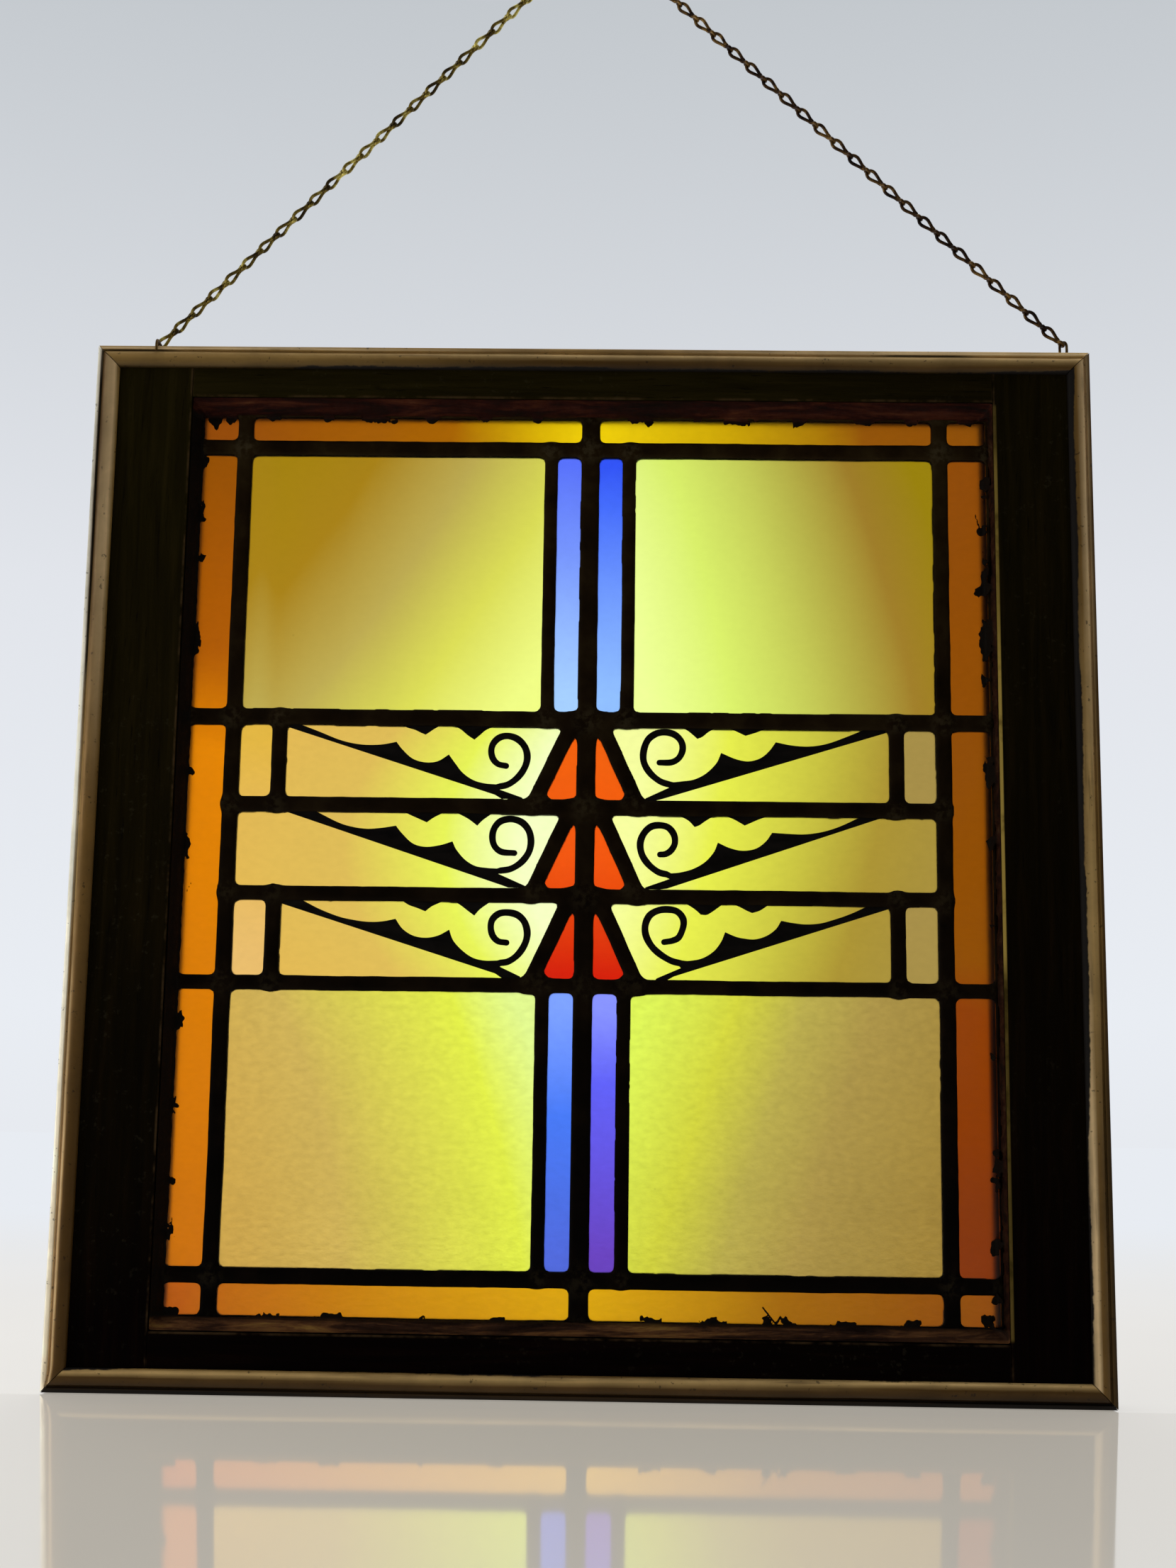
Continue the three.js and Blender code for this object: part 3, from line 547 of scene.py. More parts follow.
# ---- grids cut along the zero line of a field
class Grid:
    def __init__(self, x0, x1, z0, z1, pitch):
        self.x = np.arange(x0, x1 + pitch, pitch)
        self.z = np.arange(z0, z1 + pitch, pitch)
        self.nx, self.nz = len(self.x), len(self.z)
        self.X, self.Z = np.meshgrid(self.x, self.z, indexing="ij")
        self.pitch = pitch
        n = self.nx * self.nz
        self.pos = np.zeros((3 * n, 2))
        self.pos[:n, 0], self.pos[:n, 1] = self.X.ravel(), self.Z.ravel()
        self.pos[n:] = np.nan
        self.ids = np.arange(n).reshape(self.nx, self.nz)

    def cross(self, f):
        """Puts the edge points of a field; a point already put by an earlier field stays."""
        n, f = self.nx * self.nz, f.copy()
        for shift, a, b, ida in (
            (n, f[:-1, :], f[1:, :], self.ids[:-1, :]),
            (2 * n, f[:, :-1], f[:, 1:], self.ids[:, :-1]),
        ):
            m = (a < 0) != (b < 0)
            t = np.clip(a[m] / (a[m] - b[m]), 0.12, 0.88)
            start = self.pos[ida[m]]
            step = np.array([self.pitch, 0.0]) if shift == n else np.array([0.0, self.pitch])
            at = ida[m] + shift
            fresh = np.isnan(self.pos[at, 0])
            self.pos[at[fresh]] = (start + t[:, None] * step)[fresh]

    def polygons(self, inside):
        """Polygons over the region, counter-clockwise in x, z, as lists of point ids grouped by size."""
        n = self.nx * self.nz
        a, b = self.ids[:-1, :-1], self.ids[1:, :-1]
        c, d = self.ids[1:, 1:], self.ids[:-1, 1:]
        ab, dc = a + n, d + n
        ad, bc = a + 2 * n, b + 2 * n
        code = inside[:-1, :-1] * 1 + inside[1:, :-1] * 2 + inside[1:, 1:] * 4 + inside[:-1, 1:] * 8
        ring = [(a, 1, ab), (b, 2, bc), (c, 4, dc), (d, 8, ad)]
        out = {}
        for k in range(1, 16):
            m = code == k
            if not m.any():
                continue
            names = []
            for i, (corner, bit, edge) in enumerate(ring):
                nxt = ring[(i + 1) % 4][1]
                if k & bit:
                    names.append(corner[m])
                if bool(k & bit) != bool(k & nxt):
                    names.append(edge[m])
            out.setdefault(len(names), []).append(np.stack(names, 1))
        return [np.concatenate(v) for v in out.values()]


def rim(polys):
    """Directed edges that only one polygon has."""
    e = np.concatenate([np.stack([p, np.roll(p, -1, 1)], 2).reshape(-1, 2) for p in polys]).astype(np.int64)
    big = e.max() + 1
    code, back = e[:, 0] * big + e[:, 1], e[:, 1] * big + e[:, 0]
    return e[~np.isin(code, back)]


class Shell:
    """Gathers sheets of grid points at several depths into one closed mesh."""

    def __init__(self, grid):
        self.grid, self.verts, self.polys, self.values, self.count = grid, [], [], [], 0

    def level(self, polys, depth, extra=None):
        used = np.unique(np.concatenate([p.ravel() for p in polys]))
        xz = self.grid.pos[used]
        y = depth(xz[:, 0], xz[:, 1], used) if callable(depth) else np.full(len(used), float(depth))
        at = np.full(len(self.grid.pos), -1)
        at[used] = np.arange(len(used)) + self.count
        self.verts.append(np.stack([xz[:, 0], y, xz[:, 1]], 1))
        self.values.append(np.zeros(len(used)) if extra is None else extra(xz[:, 0], xz[:, 1]))
        self.count += len(used)
        return at

    def sheet(self, polys, at, front=True):
        for p in polys:
            q = at[p]
            self.polys.append(q if front else q[:, ::-1])

    def wall(self, edges, a, b):
        """Joins edges that run along a sheet facing the front at level a to level b behind it."""
        u, v = edges[:, 0], edges[:, 1]
        self.polys.append(np.stack([a[v], a[u], b[u], b[v]], 1))

    def build(self, name, material, replaced, value=None, smooth=50.0):
        by = {}
        for p in self.polys:
            by.setdefault(p.shape[1], []).append(p)
        values = {value: np.concatenate(self.values)} if value else None
        return make(name, np.concatenate(self.verts), [np.concatenate(v) for v in by.values()], material, replaced, smooth, values)


# ------------------------------------------------------------------ the came pattern as a field
LEAD_LO, LEAD_HI = panel_box("leadwork")
LX, LZ0, LZ1 = LEAD_HI[0], LEAD_LO[2], LEAD_HI[2]
FRONT_Y, BACK_Y = LEAD_LO[1], LEAD_HI[1]
GLASS_LO, GLASS_HI = panel_box("glass_pane_upper_left")
GLASS_Y = GLASS_LO[1]
OPEN_X = panel_box("stile_right")[0][0] + 3.0        # the front opening, from the rear lip's depth
OPEN_Z0, OPEN_Z1 = 22.5, 427.5
HEART = 0.6


def mid(a, b, k):
    """Middle of the gap between two glass nodes on axis k: a came's centre line."""
    (alo, ahi), (blo, bhi) = panel_box(a), panel_box(b)
    return (ahi[k] + blo[k]) / 2


ZA = mid("glass_pane_upper_left", "glass_top_row_left", 2)
ZB = mid("glass_small_1_left", "glass_pane_upper_left", 2)
ZC = mid("glass_scroll_2_left", "glass_scroll_1_left", 2)
ZD = mid("glass_scroll_3_left", "glass_scroll_2_left", 2)
ZE = mid("glass_pane_lower_left", "glass_scroll_3_left", 2)
ZF = mid("glass_bottom_row_left", "glass_pane_lower_left", 2)
XB = mid("glass_pane_upper_right", "glass_side_upper_right", 0)
XS = mid("glass_scroll_1_right", "glass_small_1_right", 0)
XT = mid("glass_centre_upper_right", "glass_pane_upper_right", 0)
SIGHT = (-174.6, 176.1, 28.4, 421.4)
SLANT0, SLANT = 7.15, 0.456
LEAN = 0.3               # the upright cames sit a little to the right of their gaps
ROWS = [(ZB - 3.5, ZC + 3.3), (ZC - 3.3, ZD + 3.15), (ZD - 3.15, ZE + 3.1)]


def capsule(x, z, x0, z0, x1, z1, w):
    dx, dz = x1 - x0, z1 - z0
    t = np.clip(((x - x0) * dx + (z - z0) * dz) / (dx * dx + dz * dz), 0, 1)
    return np.hypot(x - x0 - t * dx, z - z0 - t * dz) - w


def smin(a, b, k):
    h = np.maximum(k - np.abs(a - b), 0) / k
    return np.minimum(a, b) - h * h * k / 4


def rect(x, z, x0, x1, z0, z1):
    dx, dz = np.maximum(x0 - x, x - x1), np.maximum(z0 - z, z - z1)
    return np.minimum(np.maximum(dx, dz), 0) + np.hypot(np.maximum(dx, 0), np.maximum(dz, 0))


def lines():
    far = 12
    out = []
    for s in (-1, 1):
        out.append((s * XB + LEAN, LZ0 - far, s * XB + LEAN, LZ1 + far, 3.35))
        out.append((s * XT, ZB, s * XT, ZA, 2.9))
        out.append((s * XT, ZF, s * XT, ZE, 2.9))
        out.append((s * XS + LEAN, ZC, s * XS + LEAN, ZB, 3.2))
        out.append((s * XS + LEAN, ZE, s * XS + LEAN, ZD, 3.2))
        for top, foot in ROWS:
            a, b = top + 3.0, foot - 3.0
            out.append((s * (SLANT0 + SLANT * (top - a)), a, s * (SLANT0 + SLANT * (top - b)), b, 3.22))
    out.append((0, LZ0 - far, 0, LZ1 + far, 4.1))
    for z, w in ((ZA, 3.35), (ZB, 3.5), (ZE, 3.1), (ZF, 3.35)):
        out.append((-LX - far, z, LX + far, z, w))
    out.append((-XB, ZC, XB, ZC, 3.3))
    out.append((-XB, ZD, XB, ZD, 3.15))
    return out


def joints():
    """Soldered joints: x, z, radius."""
    r = np.random.default_rng(5)
    at = []
    for s in (-1, 1):
        at += [(s * XB, z, 5.3) for z in (ZA, ZB, ZC, ZD, ZE, ZF)]
        at += [(s * XT, z, 4.6) for z in (ZA, ZB, ZE, ZF)]
        at += [(s * XS, z, 4.7) for z in (ZB, ZC, ZD, ZE)]
        at += [(s * (LX - 1.2), z, 4.3) for z in (ZA, ZB, ZE, ZF)]
        at += [(s * XB, z, 4.3) for z in (LZ0 + 2.2, LZ1 - 2.2)]
        for top, foot in ROWS:
            at += [(s * (SLANT0 + SLANT * (top - foot) + 0.6), foot - 1.6, 4.4), (s * (SLANT0 + SLANT * (top - foot) - 3.4), foot - 0.2, 3.6)]
    at += [(0, z, 6.2) for z in (ZA, ZB, ZC, ZD, ZE, ZF)]
    at += [(0, z, 5.4) for z in (LZ0 + 2.0, LZ1 - 2.0)]
    return [(x + r.uniform(-0.5, 0.5), z + r.uniform(-0.5, 0.5), q * r.uniform(0.94, 1.08)) for x, z, q in at]


LINES, JOINTS = lines(), joints()


def came_field(x, z):
    """Signed distance to the edge of the leadwork, negative on the lead."""
    wx = x + 0.16 * noise2(x, z, 26, 3, 2) + 0.09 * noise2(x, z, 5.5, 4, 2)
    wz = z + 0.16 * noise2(x, z, 26, 5, 2) + 0.09 * noise2(x, z, 5.5, 6, 2)
    f = -rect(wx, wz, *SIGHT)
    for line in LINES:
        f = smin(f, capsule(wx, wz, *line), 2.8)
    for jx, jz, r in JOINTS:
        near = (np.abs(wx - jx) < 14) & (np.abs(wz - jz) < 14)
        if near.any():
            f = f.copy()
            f[near] = smin(f[near], np.hypot(wx[near] - jx, wz[near] - jz) - r * 0.60, 1.6)
    return np.maximum(f, rect(x, z, -LX, LX, LZ0, LZ1))


def solder(x, z):
    s = np.zeros(np.shape(x))
    for jx, jz, r in JOINTS:
        s = np.maximum(s, np.exp(-(((x - jx) ** 2 + (z - jz) ** 2) / (r * 0.95) ** 2) ** 1.5))
    return s


def under_putty(x, z):
    return (np.abs(x) > 171.5) | (z < 31.5) | (z > 418.5)


def lead_front(x, z, f):
    """Depth of the leadwork's face: rounded came leaves with raised joints."""
    d = np.clip(-f, 0, None)
    crown = np.sqrt(np.clip(1 - (1 - np.clip(d / 2.4, 0, 1)) ** 2, 0, 1))
    y = FRONT_Y + 0.80 - 0.72 * crown
    y = y + 0.05 * noise2(x, z, 7, 8, 3) * crown
    bump = np.where(under_putty(x, z), 0.0, 0.42) * solder(x, z) * np.clip(d / 1.2, 0, 1)
    y = y - bump * (1 + 0.35 * noise2(x, z, 3.2, 9, 2))
    return np.where(under_putty(x, z), np.maximum(y, FRONT_Y), y)


def build_leadwork():
    g = Grid(-LX, LX, LZ0, LZ1, 0.98)
    edge = (g.X <= g.x[0] + 1e-6) | (g.X >= LX - 1e-6) | (g.Z <= g.z[0] + 1e-6) | (g.Z >= LZ1 - 1e-6)
    f = came_field(g.X, g.Z)
    f[np.abs(f) < 0.06] = -0.06
    f[edge] = np.maximum(f[edge], 0.3)
    # hearts of the inner cames, between the two leaves
    h = np.full(g.X.shape, 50.0)
    for x0, z0, x1, z1, _ in LINES:
        h = np.minimum(h, capsule(g.X, g.Z, x0, z0, x1, z1, HEART))
    h = np.maximum(h, rect(g.X, g.Z, -LX + 4.2, LX - 4.2, LZ0 + 4.2, LZ1 - 4.2))
    h[np.abs(h) < 0.04] = -0.04
    h[f > -2.0] = np.maximum(h[f > -2.0], 0.2)
    a, hh = f < 0, h < 0
    g.cross(f)
    g.cross(h)
    pa, pr, ph = g.polygons(a), g.polygons(a & ~hh), g.polygons(hh)
    fpos = came_field(g.pos[:, 0], g.pos[:, 1])

    def face(x, z, ids):
        d = fpos[ids].copy()
        d[ids >= g.nx * g.nz] = 0.0
        return lead_front(x, z, d)

    s = Shell(g)
    top = s.level(pa, face, solder)
    leaf = s.level(pr, FRONT_Y + 0.9)
    heart = s.level(ph, BACK_Y - 0.95)
    s.sheet(pa, top)
    s.sheet(pr, leaf, front=False)
    s.sheet(ph, heart, front=False)
    s.wall(rim(pa), top, leaf)
    # the heart's sides run from the rear of the front leaf
    edges = rim(ph)
    s.wall(edges, leaf, heart)
    s.build("leadwork_front", lead_material_, ["leadwork"], "solder")

    g = Grid(-LX, LX, LZ0, LZ1, 1.25)
    edge = (g.X <= g.x[0] + 1e-6) | (g.X >= LX - 1e-6) | (g.Z <= g.z[0] + 1e-6) | (g.Z >= LZ1 - 1e-6)
    f = came_field(g.X, g.Z)
    f[np.abs(f) < 0.06] = -0.06
    f[edge] = np.maximum(f[edge], 0.3)
    a = f < 0
    g.cross(f)
    pa = g.polygons(a)
    fpos = came_field(g.pos[:, 0], g.pos[:, 1])

    def rear(x, z, ids):
        d = -fpos[ids].copy()
        d[ids >= g.nx * g.nz] = 0.0
        crown = np.sqrt(np.clip(1 - (1 - np.clip(d / 2.4, 0, 1)) ** 2, 0, 1))
        y = BACK_Y - 0.78 + 0.64 * crown + 0.10 * solder(x, z) * crown + 0.03 * noise2(x, z, 6, 12, 2) * crown
        return np.minimum(y, BACK_Y)

    s = Shell(g)
    near = s.level(pa, BACK_Y - 0.92)
    far = s.level(pa, rear, solder)
    s.sheet(pa, near)
    s.sheet(pa, far, front=False)
    s.wall(rim(pa), near, far)
    s.build("leadwork_rear", lead_material_, (), "solder")


# ------------------------------------------------------------------ putty
PUTTY_LO, PUTTY_HI = panel_box("putty")
FLAKES = [  # x, z, half width, half height: smears of putty and paint left on the glass edges
    (174.6, 392, 2.0, 5.5), (173.6, 371, 2.6, 3.2), (175.0, 352, 1.6, 9.0), (172.6, 343, 1.6, 1.3), (174.8, 322, 1.9, 7.0),
    (173.9, 303, 1.5, 2.4), (175.2, 262, 1.3, 6.0), (175.0, 231, 1.4, 3.0), (174.8, 196, 1.2, 5.0), (174.2, 140, 1.3, 2.2),
    (175.0, 96, 1.4, 6.0), (174.4, 61, 1.6, 3.2), (170.5, 31.0, 3.2, 2.6), (173.8, 40, 1.6, 2.0),
    (-173.4, 402, 1.6, 3.0), (-173.6, 376, 1.3, 4.0), (-172.9, 356, 1.2, 1.4), (-173.3, 318, 1.4, 5.0), (-172.8, 259, 1.5, 1.6),
    (-173.3, 226, 1.3, 6.0), (-173.0, 150, 1.3, 3.0), (-173.2, 112, 1.3, 5.0), (-172.8, 84, 1.5, 1.5), (-173.0, 62, 1.4, 4.0),
    (-171.2, 29.6, 3.6, 2.6), (-169.2, 419.5, 2.6, 3.4), (-161.8, 421.0, 2.0, 2.6), (168, 421.5, 3.0, 1.5),
    (-141, 420.9, 4.0, 1.2), (-118, 421.2, 3.0, 1.8), (-96, 421.0, 5.0, 1.2), (-71, 421.3, 3.0, 2.2), (-49, 421.0, 4.0, 1.4), (-24, 421.4, 3.0, 2.0),
    (22, 421.2, 4.0, 1.7), (47, 421.0, 3.0, 1.2), (66, 421.4, 5.0, 1.9), (93, 421.1, 3.0, 2.4), (121, 421.3, 4.0, 1.4), (143, 421.0, 3.0, 1.9),
    (-130, 28.6, 4.0, 1.2), (-103, 28.4, 5.0, 1.7), (-66, 28.6, 3.0, 1.2), (-33, 28.5, 5.0, 1.5), (31, 28.4, 3.0, 1.6), (58, 28.7, 4.0, 1.3),
    (79, 28.9, 2.2, 2.0), (86.5, 29.3, 3.4, 1.8), (112, 28.5, 4.0, 1.4), (139, 28.6, 3.0, 1.8),
]
SPIKES = [  # hair cracks and scratches filled with black, from, to, half width
    (82.2, 28.6, 76.6, 35.4, 0.34), (82.4, 28.4, 84.4, 31.6, 0.42), (-172.6, 206, -170.2, 211, 0.2), (-172.2, 68, -170.9, 60, 0.22),
    (-147.5, 22.9, -149.5, 27.5, 0.5), (173.0, 372, 171.0, 379, 0.3),
]


def putty_field(x, z):
    n = 0.45 * noise2(x, z, 11, 21, 3) + 0.36 * noise2(x, z, 2.4, 22, 3)
    rough = 0.50 + 0.25 * np.clip((x - 171) / 2, 0, 1) + 0.55 * np.clip((-161 - x) / 3, 0, 1) * np.clip((z - 411) / 3, 0, 1)
    f = -rect(x, z, -173.9, 177.0, 28.0, 421.9) + n * rough
    for fx, fz, rx, rz in FLAKES:
        near = (np.abs(x - fx) < rx + 8) & (np.abs(z - fz) < rz + 8)
        if near.any():
            q = np.hypot((x[near] - fx) / rx, (z[near] - fz) / rz)
            f[near] = smin(f[near], (q - 1) * min(rx, rz) * 0.8 + 1.7 * n[near] + 0.80 * noise2(x[near], z[near] * 0.6, 1.4, 23, 3), 0.4)
    for x0, z0, x1, z1, w in SPIKES:
        near = (np.abs(x - x0) < 18) & (np.abs(z - z0) < 18)
        if near.any():
            f[near] = np.minimum(f[near], capsule(x[near], z[near], x0, z0, x1, z1, w))
    return np.maximum(f, rect(x, z, PUTTY_LO[0], PUTTY_HI[0], PUTTY_LO[2], PUTTY_HI[2]))


def build_putty():
    g = Grid(PUTTY_LO[0], PUTTY_HI[0], PUTTY_LO[2], PUTTY_HI[2], 0.72)
    edge = (g.X <= g.x[0] + 1e-6) | (g.X >= PUTTY_HI[0] - 1e-6) | (g.Z <= g.z[0] + 1e-6) | (g.Z >= PUTTY_HI[2] - 1e-6)
    f = putty_field(g.X, g.Z)
    f[np.abs(f) < 0.05] = -0.05
    f[edge] = np.maximum(f[edge], 0.2)
    a = f < 0
    g.cross(f)
    pa = g.polygons(a)
    lead = came_field(g.pos[:, 0], g.pos[:, 1])
    own = putty_field(g.pos[:, 0].copy(), g.pos[:, 1].copy())
    n = g.nx * g.nz

    def rest(x, z, ids):
        """What the putty lies on: the lead leaf, or the glass past its edge."""
        d = lead[ids]
        on = lead_front(x, z, np.minimum(d, 0)) - 0.12
        return np.where(d < 0.25, np.minimum(on, FRONT_Y - 0.3 + 0.55 * np.clip(1 + d / 1.2, 0, 1)), GLASS_Y - 0.10)

    def face(x, z, ids):
        # thickness falls from the arris of the sash to the glass
        out = np.minimum(np.minimum(x - PUTTY_LO[0], PUTTY_HI[0] - x), np.minimum(z - PUTTY_LO[2], PUTTY_HI[2] - z))
        side = np.abs(x) > 171.0
        width = np.where(side & (z > 30) & (z < 420), 3.4, 5.6)
        slope = PUTTY_LO[1] + (7.4 - PUTTY_LO[1]) * np.clip(out / width, 0, 1) ** 0.8
        slope = slope + 0.35 * noise2(x, z, 3.0, 31, 3) * np.clip(out / 1.0, 0, 1)
        d = np.clip(-own[ids], 0, None)
        d[ids >= n] = 0.0
        base = rest(x, z, ids)
        thin = base - 0.10 - 0.55 * np.clip(d / 1.5, 0, 1)
        y = np.where(out > width, thin, np.minimum(slope, base - 0.10))
        blend = np.clip((out - width + 1.2) / 1.2, 0, 1)
        y = np.minimum(slope, base - 0.1) * (1 - blend) + thin * blend
        return np.clip(y, PUTTY_LO[1], base - 0.08)

    s = Shell(g)
    top = s.level(pa, face)
    back = s.level(pa, rest)
    s.sheet(pa, top)
    s.sheet(pa, back, front=False)
    s.wall(rim(pa), top, back)
    s.build("putty_bevel", MATERIALS["putty"], ["putty"], smooth=60.0)


# ------------------------------------------------------------------ painted scrolls on the band rows
SCROLLS = {
    "L1": dict(
        tip=[(124.3, 3.9)],
        upper=[(119.5, 2.4), (111.0, 5.6), (102.7, 8.9), (96.2, 10.6), (89.8, 11.3), (83.0, 11.0), (76.9, 9.8, 1), (74.2, 13.2), (69.6, 17.2), (64.0, 18.8), (58.6, 18.2), (53.8, 15.2, 1), (51.3, 18.6), (47.6, 23.2), (42.9, 26.4), (37.9, 27.8), (32.9, 28.2)],
        spiral=[(32.0, 29.3), (27.5, 28.1), (23.3, 24.8), (20.4, 20.3), (19.5, 15.7), (20.7, 11.4), (23.8, 8.1), (27.9, 6.7), (31.7, 7.4), (34.4, 10.0), (35.3, 13.3), (34.5, 16.8), (32.2, 19.2), (28.7, 20.0)],
        notch=[(31.0, 30.6), (21.5, 33.9)],
        low=[(33.3, 32.8)],
        sc=[[(75.0, 2.2), (72.2, 3.5), (69.0, 4.4), (66.2, 5.7), (64.2, 6.5, 1), (62.6, 5.4), (60.3, 3.8), (57.2, 2.0)], [(52.6, 2.0), (48.9, 4.0), (45.7, 6.6), (42.8, 8.5, 1), (40.7, 6.7), (38.0, 4.3), (35.3, 3.0), (32.6, 1.8)]]),
    "L2": dict(
        tip=[(125.0, 2.2)],
        upper=[(111.3, 2.0), (101.3, 6.9), (94.9, 8.8), (88.5, 9.6), (82.2, 9.1), (76.0, 8.1, 1), (73.0, 11.7), (68.4, 15.8), (62.9, 17.2), (56.6, 16.4), (51.2, 14.7, 1), (49.4, 18.3), (45.6, 22.6), (41.1, 25.3), (36.1, 26.1), (31.6, 26.3)],
        spiral=[(30.6, 27.3), (25.7, 26.4), (21.3, 23.6), (18.1, 19.3), (17.1, 14.5), (18.1, 9.7), (21.1, 6.1), (25.7, 4.6), (30.2, 5.5), (32.9, 8.3), (33.9, 12.2), (33.0, 16.3), (29.9, 19.0), (24.2, 19.5)],
        notch=[(31.1, 28.6), (19.4, 33.7)],
        low=[(29.6, 33.5)],
        sc=[[(73.8, 1.4), (69.7, 3.4), (66.0, 5.0), (62.6, 6.5, 1), (59.7, 4.4), (56.5, 2.7), (53.9, 1.2)], [(51.6, 1.2), (47.9, 3.0), (44.2, 5.0), (40.6, 7.7, 1), (38.4, 5.4), (35.2, 3.0), (32.1, 0.9)]]),
    "L3": dict(
        tip=[(125.4, 3.6)],
        upper=[(115.4, 2.3), (108.0, 6.0), (99.8, 9.1), (93.5, 10.5), (87.1, 11.3), (80.9, 11.1), (74.9, 9.9, 1), (71.8, 14.1), (67.2, 17.0), (61.8, 17.9), (56.4, 16.9), (51.6, 14.3, 1), (49.7, 19.0), (45.5, 23.4), (41.0, 26.3), (36.0, 27.4), (30.6, 27.3)],
        spiral=[(29.7, 28.4), (25.7, 27.6), (21.8, 24.7), (18.9, 20.2), (17.9, 15.5), (19.1, 10.8), (22.1, 7.7), (26.2, 6.6), (30.2, 7.1), (33.0, 9.6), (33.7, 13.0), (32.8, 16.6), (30.4, 19.0), (26.8, 19.6)],
        notch=[(29.4, 30.0), (20.8, 34.0)],
        low=[(31.4, 32.9)],
        sc=[[(72.6, 1.8), (69.4, 3.8), (65.7, 5.1), (62.1, 6.5, 1), (59.5, 4.4), (56.4, 2.9), (53.7, 1.6)], [(50.5, 1.5), (46.9, 3.7), (43.7, 6.1), (40.9, 8.1, 1), (38.8, 5.6), (35.7, 3.2), (32.6, 1.1)]]),
    "R1": dict(
        tip=[(124.4, 3.6)],
        upper=[(116.8, 1.4), (107.4, 5.4), (98.8, 8.6), (91.3, 9.9), (83.7, 9.6), (76.3, 8.2, 1), (73.3, 12.3), (69.5, 15.4), (64.3, 16.8), (58.7, 15.8), (52.5, 13.2, 1), (50.4, 17.8), (45.9, 22.4), (40.7, 25.1), (35.1, 26.0), (31.8, 26.4)],
        spiral=[(30.7, 27.6), (26.1, 26.1), (21.8, 22.7), (19.0, 18.2), (18.6, 13.4), (20.3, 8.1), (23.8, 5.1), (28.0, 4.3), (32.1, 5.3), (35.0, 8.2), (35.7, 11.9), (34.1, 15.6), (30.8, 17.6), (25.6, 17.8)],
        notch=[(29.9, 28.8), (19.8, 33.6)],
        low=[(27.1, 33.8)],
        sc=[[(73.8, 1.5), (68.6, 3.7), (65.7, 4.7), (63.1, 5.5, 1), (61.0, 4.5), (58.2, 3.2), (54.4, 1.7)], [(50.6, 1.8), (46.8, 4.1), (44.4, 6.1), (42.1, 7.1, 1), (40.2, 5.4), (37.8, 3.5), (34.0, 1.5)]]),
    "R2": dict(
        tip=[(122.5, 2.2)],
        upper=[(113.6, 1.6), (104.2, 6.1), (96.7, 8.6), (89.1, 9.8), (81.6, 9.7), (74.6, 9.3, 1), (71.8, 13.2), (67.6, 16.3), (61.9, 17.3), (56.3, 16.2), (51.1, 13.9, 1), (49.3, 18.2), (45.5, 22.5), (40.4, 25.5), (34.8, 27.1), (31.0, 27.5)],
        spiral=[(29.6, 28.1), (25.4, 27.0), (21.1, 23.7), (18.3, 19.5), (17.5, 14.7), (18.9, 10.5), (21.9, 7.4), (25.7, 6.6), (29.5, 7.5), (32.0, 10.5), (32.5, 14.3), (31.0, 17.4), (28.6, 19.1), (26.1, 19.4)],
        notch=[(30.3, 30.0), (20.0, 33.7)],
        low=[(29.2, 34.2)],
        sc=[[(73.7, 1.8), (68.5, 3.7), (65.2, 5.2), (62.7, 6.3, 1), (60.5, 5.0), (57.7, 3.5), (53.9, 2.1)], [(49.7, 2.1), (45.9, 4.4), (43.1, 6.4), (41.0, 7.2, 1), (38.4, 4.5), (34.6, 2.5), (30.8, 1.0)]]),
    "R3": dict(
        tip=[(124.7, 3.1)],
        upper=[(117.2, 1.1), (108.6, 5.2), (101.5, 7.8), (95.2, 9.6), (89.0, 10.1), (83.6, 9.6), (78.4, 8.7, 1), (76.0, 12.4), (72.0, 15.3), (67.1, 16.8), (62.2, 16.5), (58.6, 15.7), (54.3, 13.9, 1), (52.5, 18.2), (49.3, 22.3), (44.4, 25.3), (39.0, 26.4), (36.3, 26.3)],
        spiral=[(35.5, 27.6), (31.0, 26.4), (26.1, 23.5), (22.5, 20.0), (20.2, 15.5), (20.0, 11.0), (21.9, 7.0), (25.5, 4.9), (29.5, 4.4), (33.5, 5.2), (36.1, 8.1), (36.3, 11.7), (34.5, 16.2), (31.8, 17.8), (28.1, 18.5)],
        notch=[(35.3, 29.6), (25.0, 34.1)],
        low=[(32.4, 33.2)],
        sc=[[(73.3, 1.7), (69.3, 4.4), (65.9, 5.5, 1), (63.5, 4.5), (60.8, 3.1), (57.7, 1.8)], [(53.2, 1.9), (49.6, 4.6), (46.5, 6.5), (43.8, 6.5, 1), (41.6, 4.5), (38.9, 2.7), (35.7, 1.0)]]),
}


def smooth_line(points, step=0.55):
    """Catmull-Rom through points; a point with a third number is a cusp, where the line breaks."""
    runs, run = [], []
    for p in points:
        run.append(p[:2])
        if len(p) > 2:
            runs.append(run)
            run = [p[:2]]
    runs.append(run)
    out = []
    for run in runs:
        q = np.array(run, float)
        if len(q) < 2:
            continue
        ext = np.vstack([2 * q[0] - q[1], q, 2 * q[-1] - q[-2]])
        for i in range(len(q) - 1):
            p0, p1, p2, p3 = ext[i : i + 4]
            n = max(2, int(np.hypot(*(p2 - p1)) / step))
            for k in range(n):
                t = k / n
                out.append(0.5 * ((2 * p1) + (p2 - p0) * t + (2 * p0 - 5 * p1 + 4 * p2 - p3) * t * t + (3 * p1 - p0 - 3 * p2 + p3) * t**3))
        out.append(q[-1])
    keep = [out[0]]
    for p in out[1:]:
        if np.hypot(*(p - keep[-1])) > 0.05:
            keep.append(p)
    return np.array(keep)


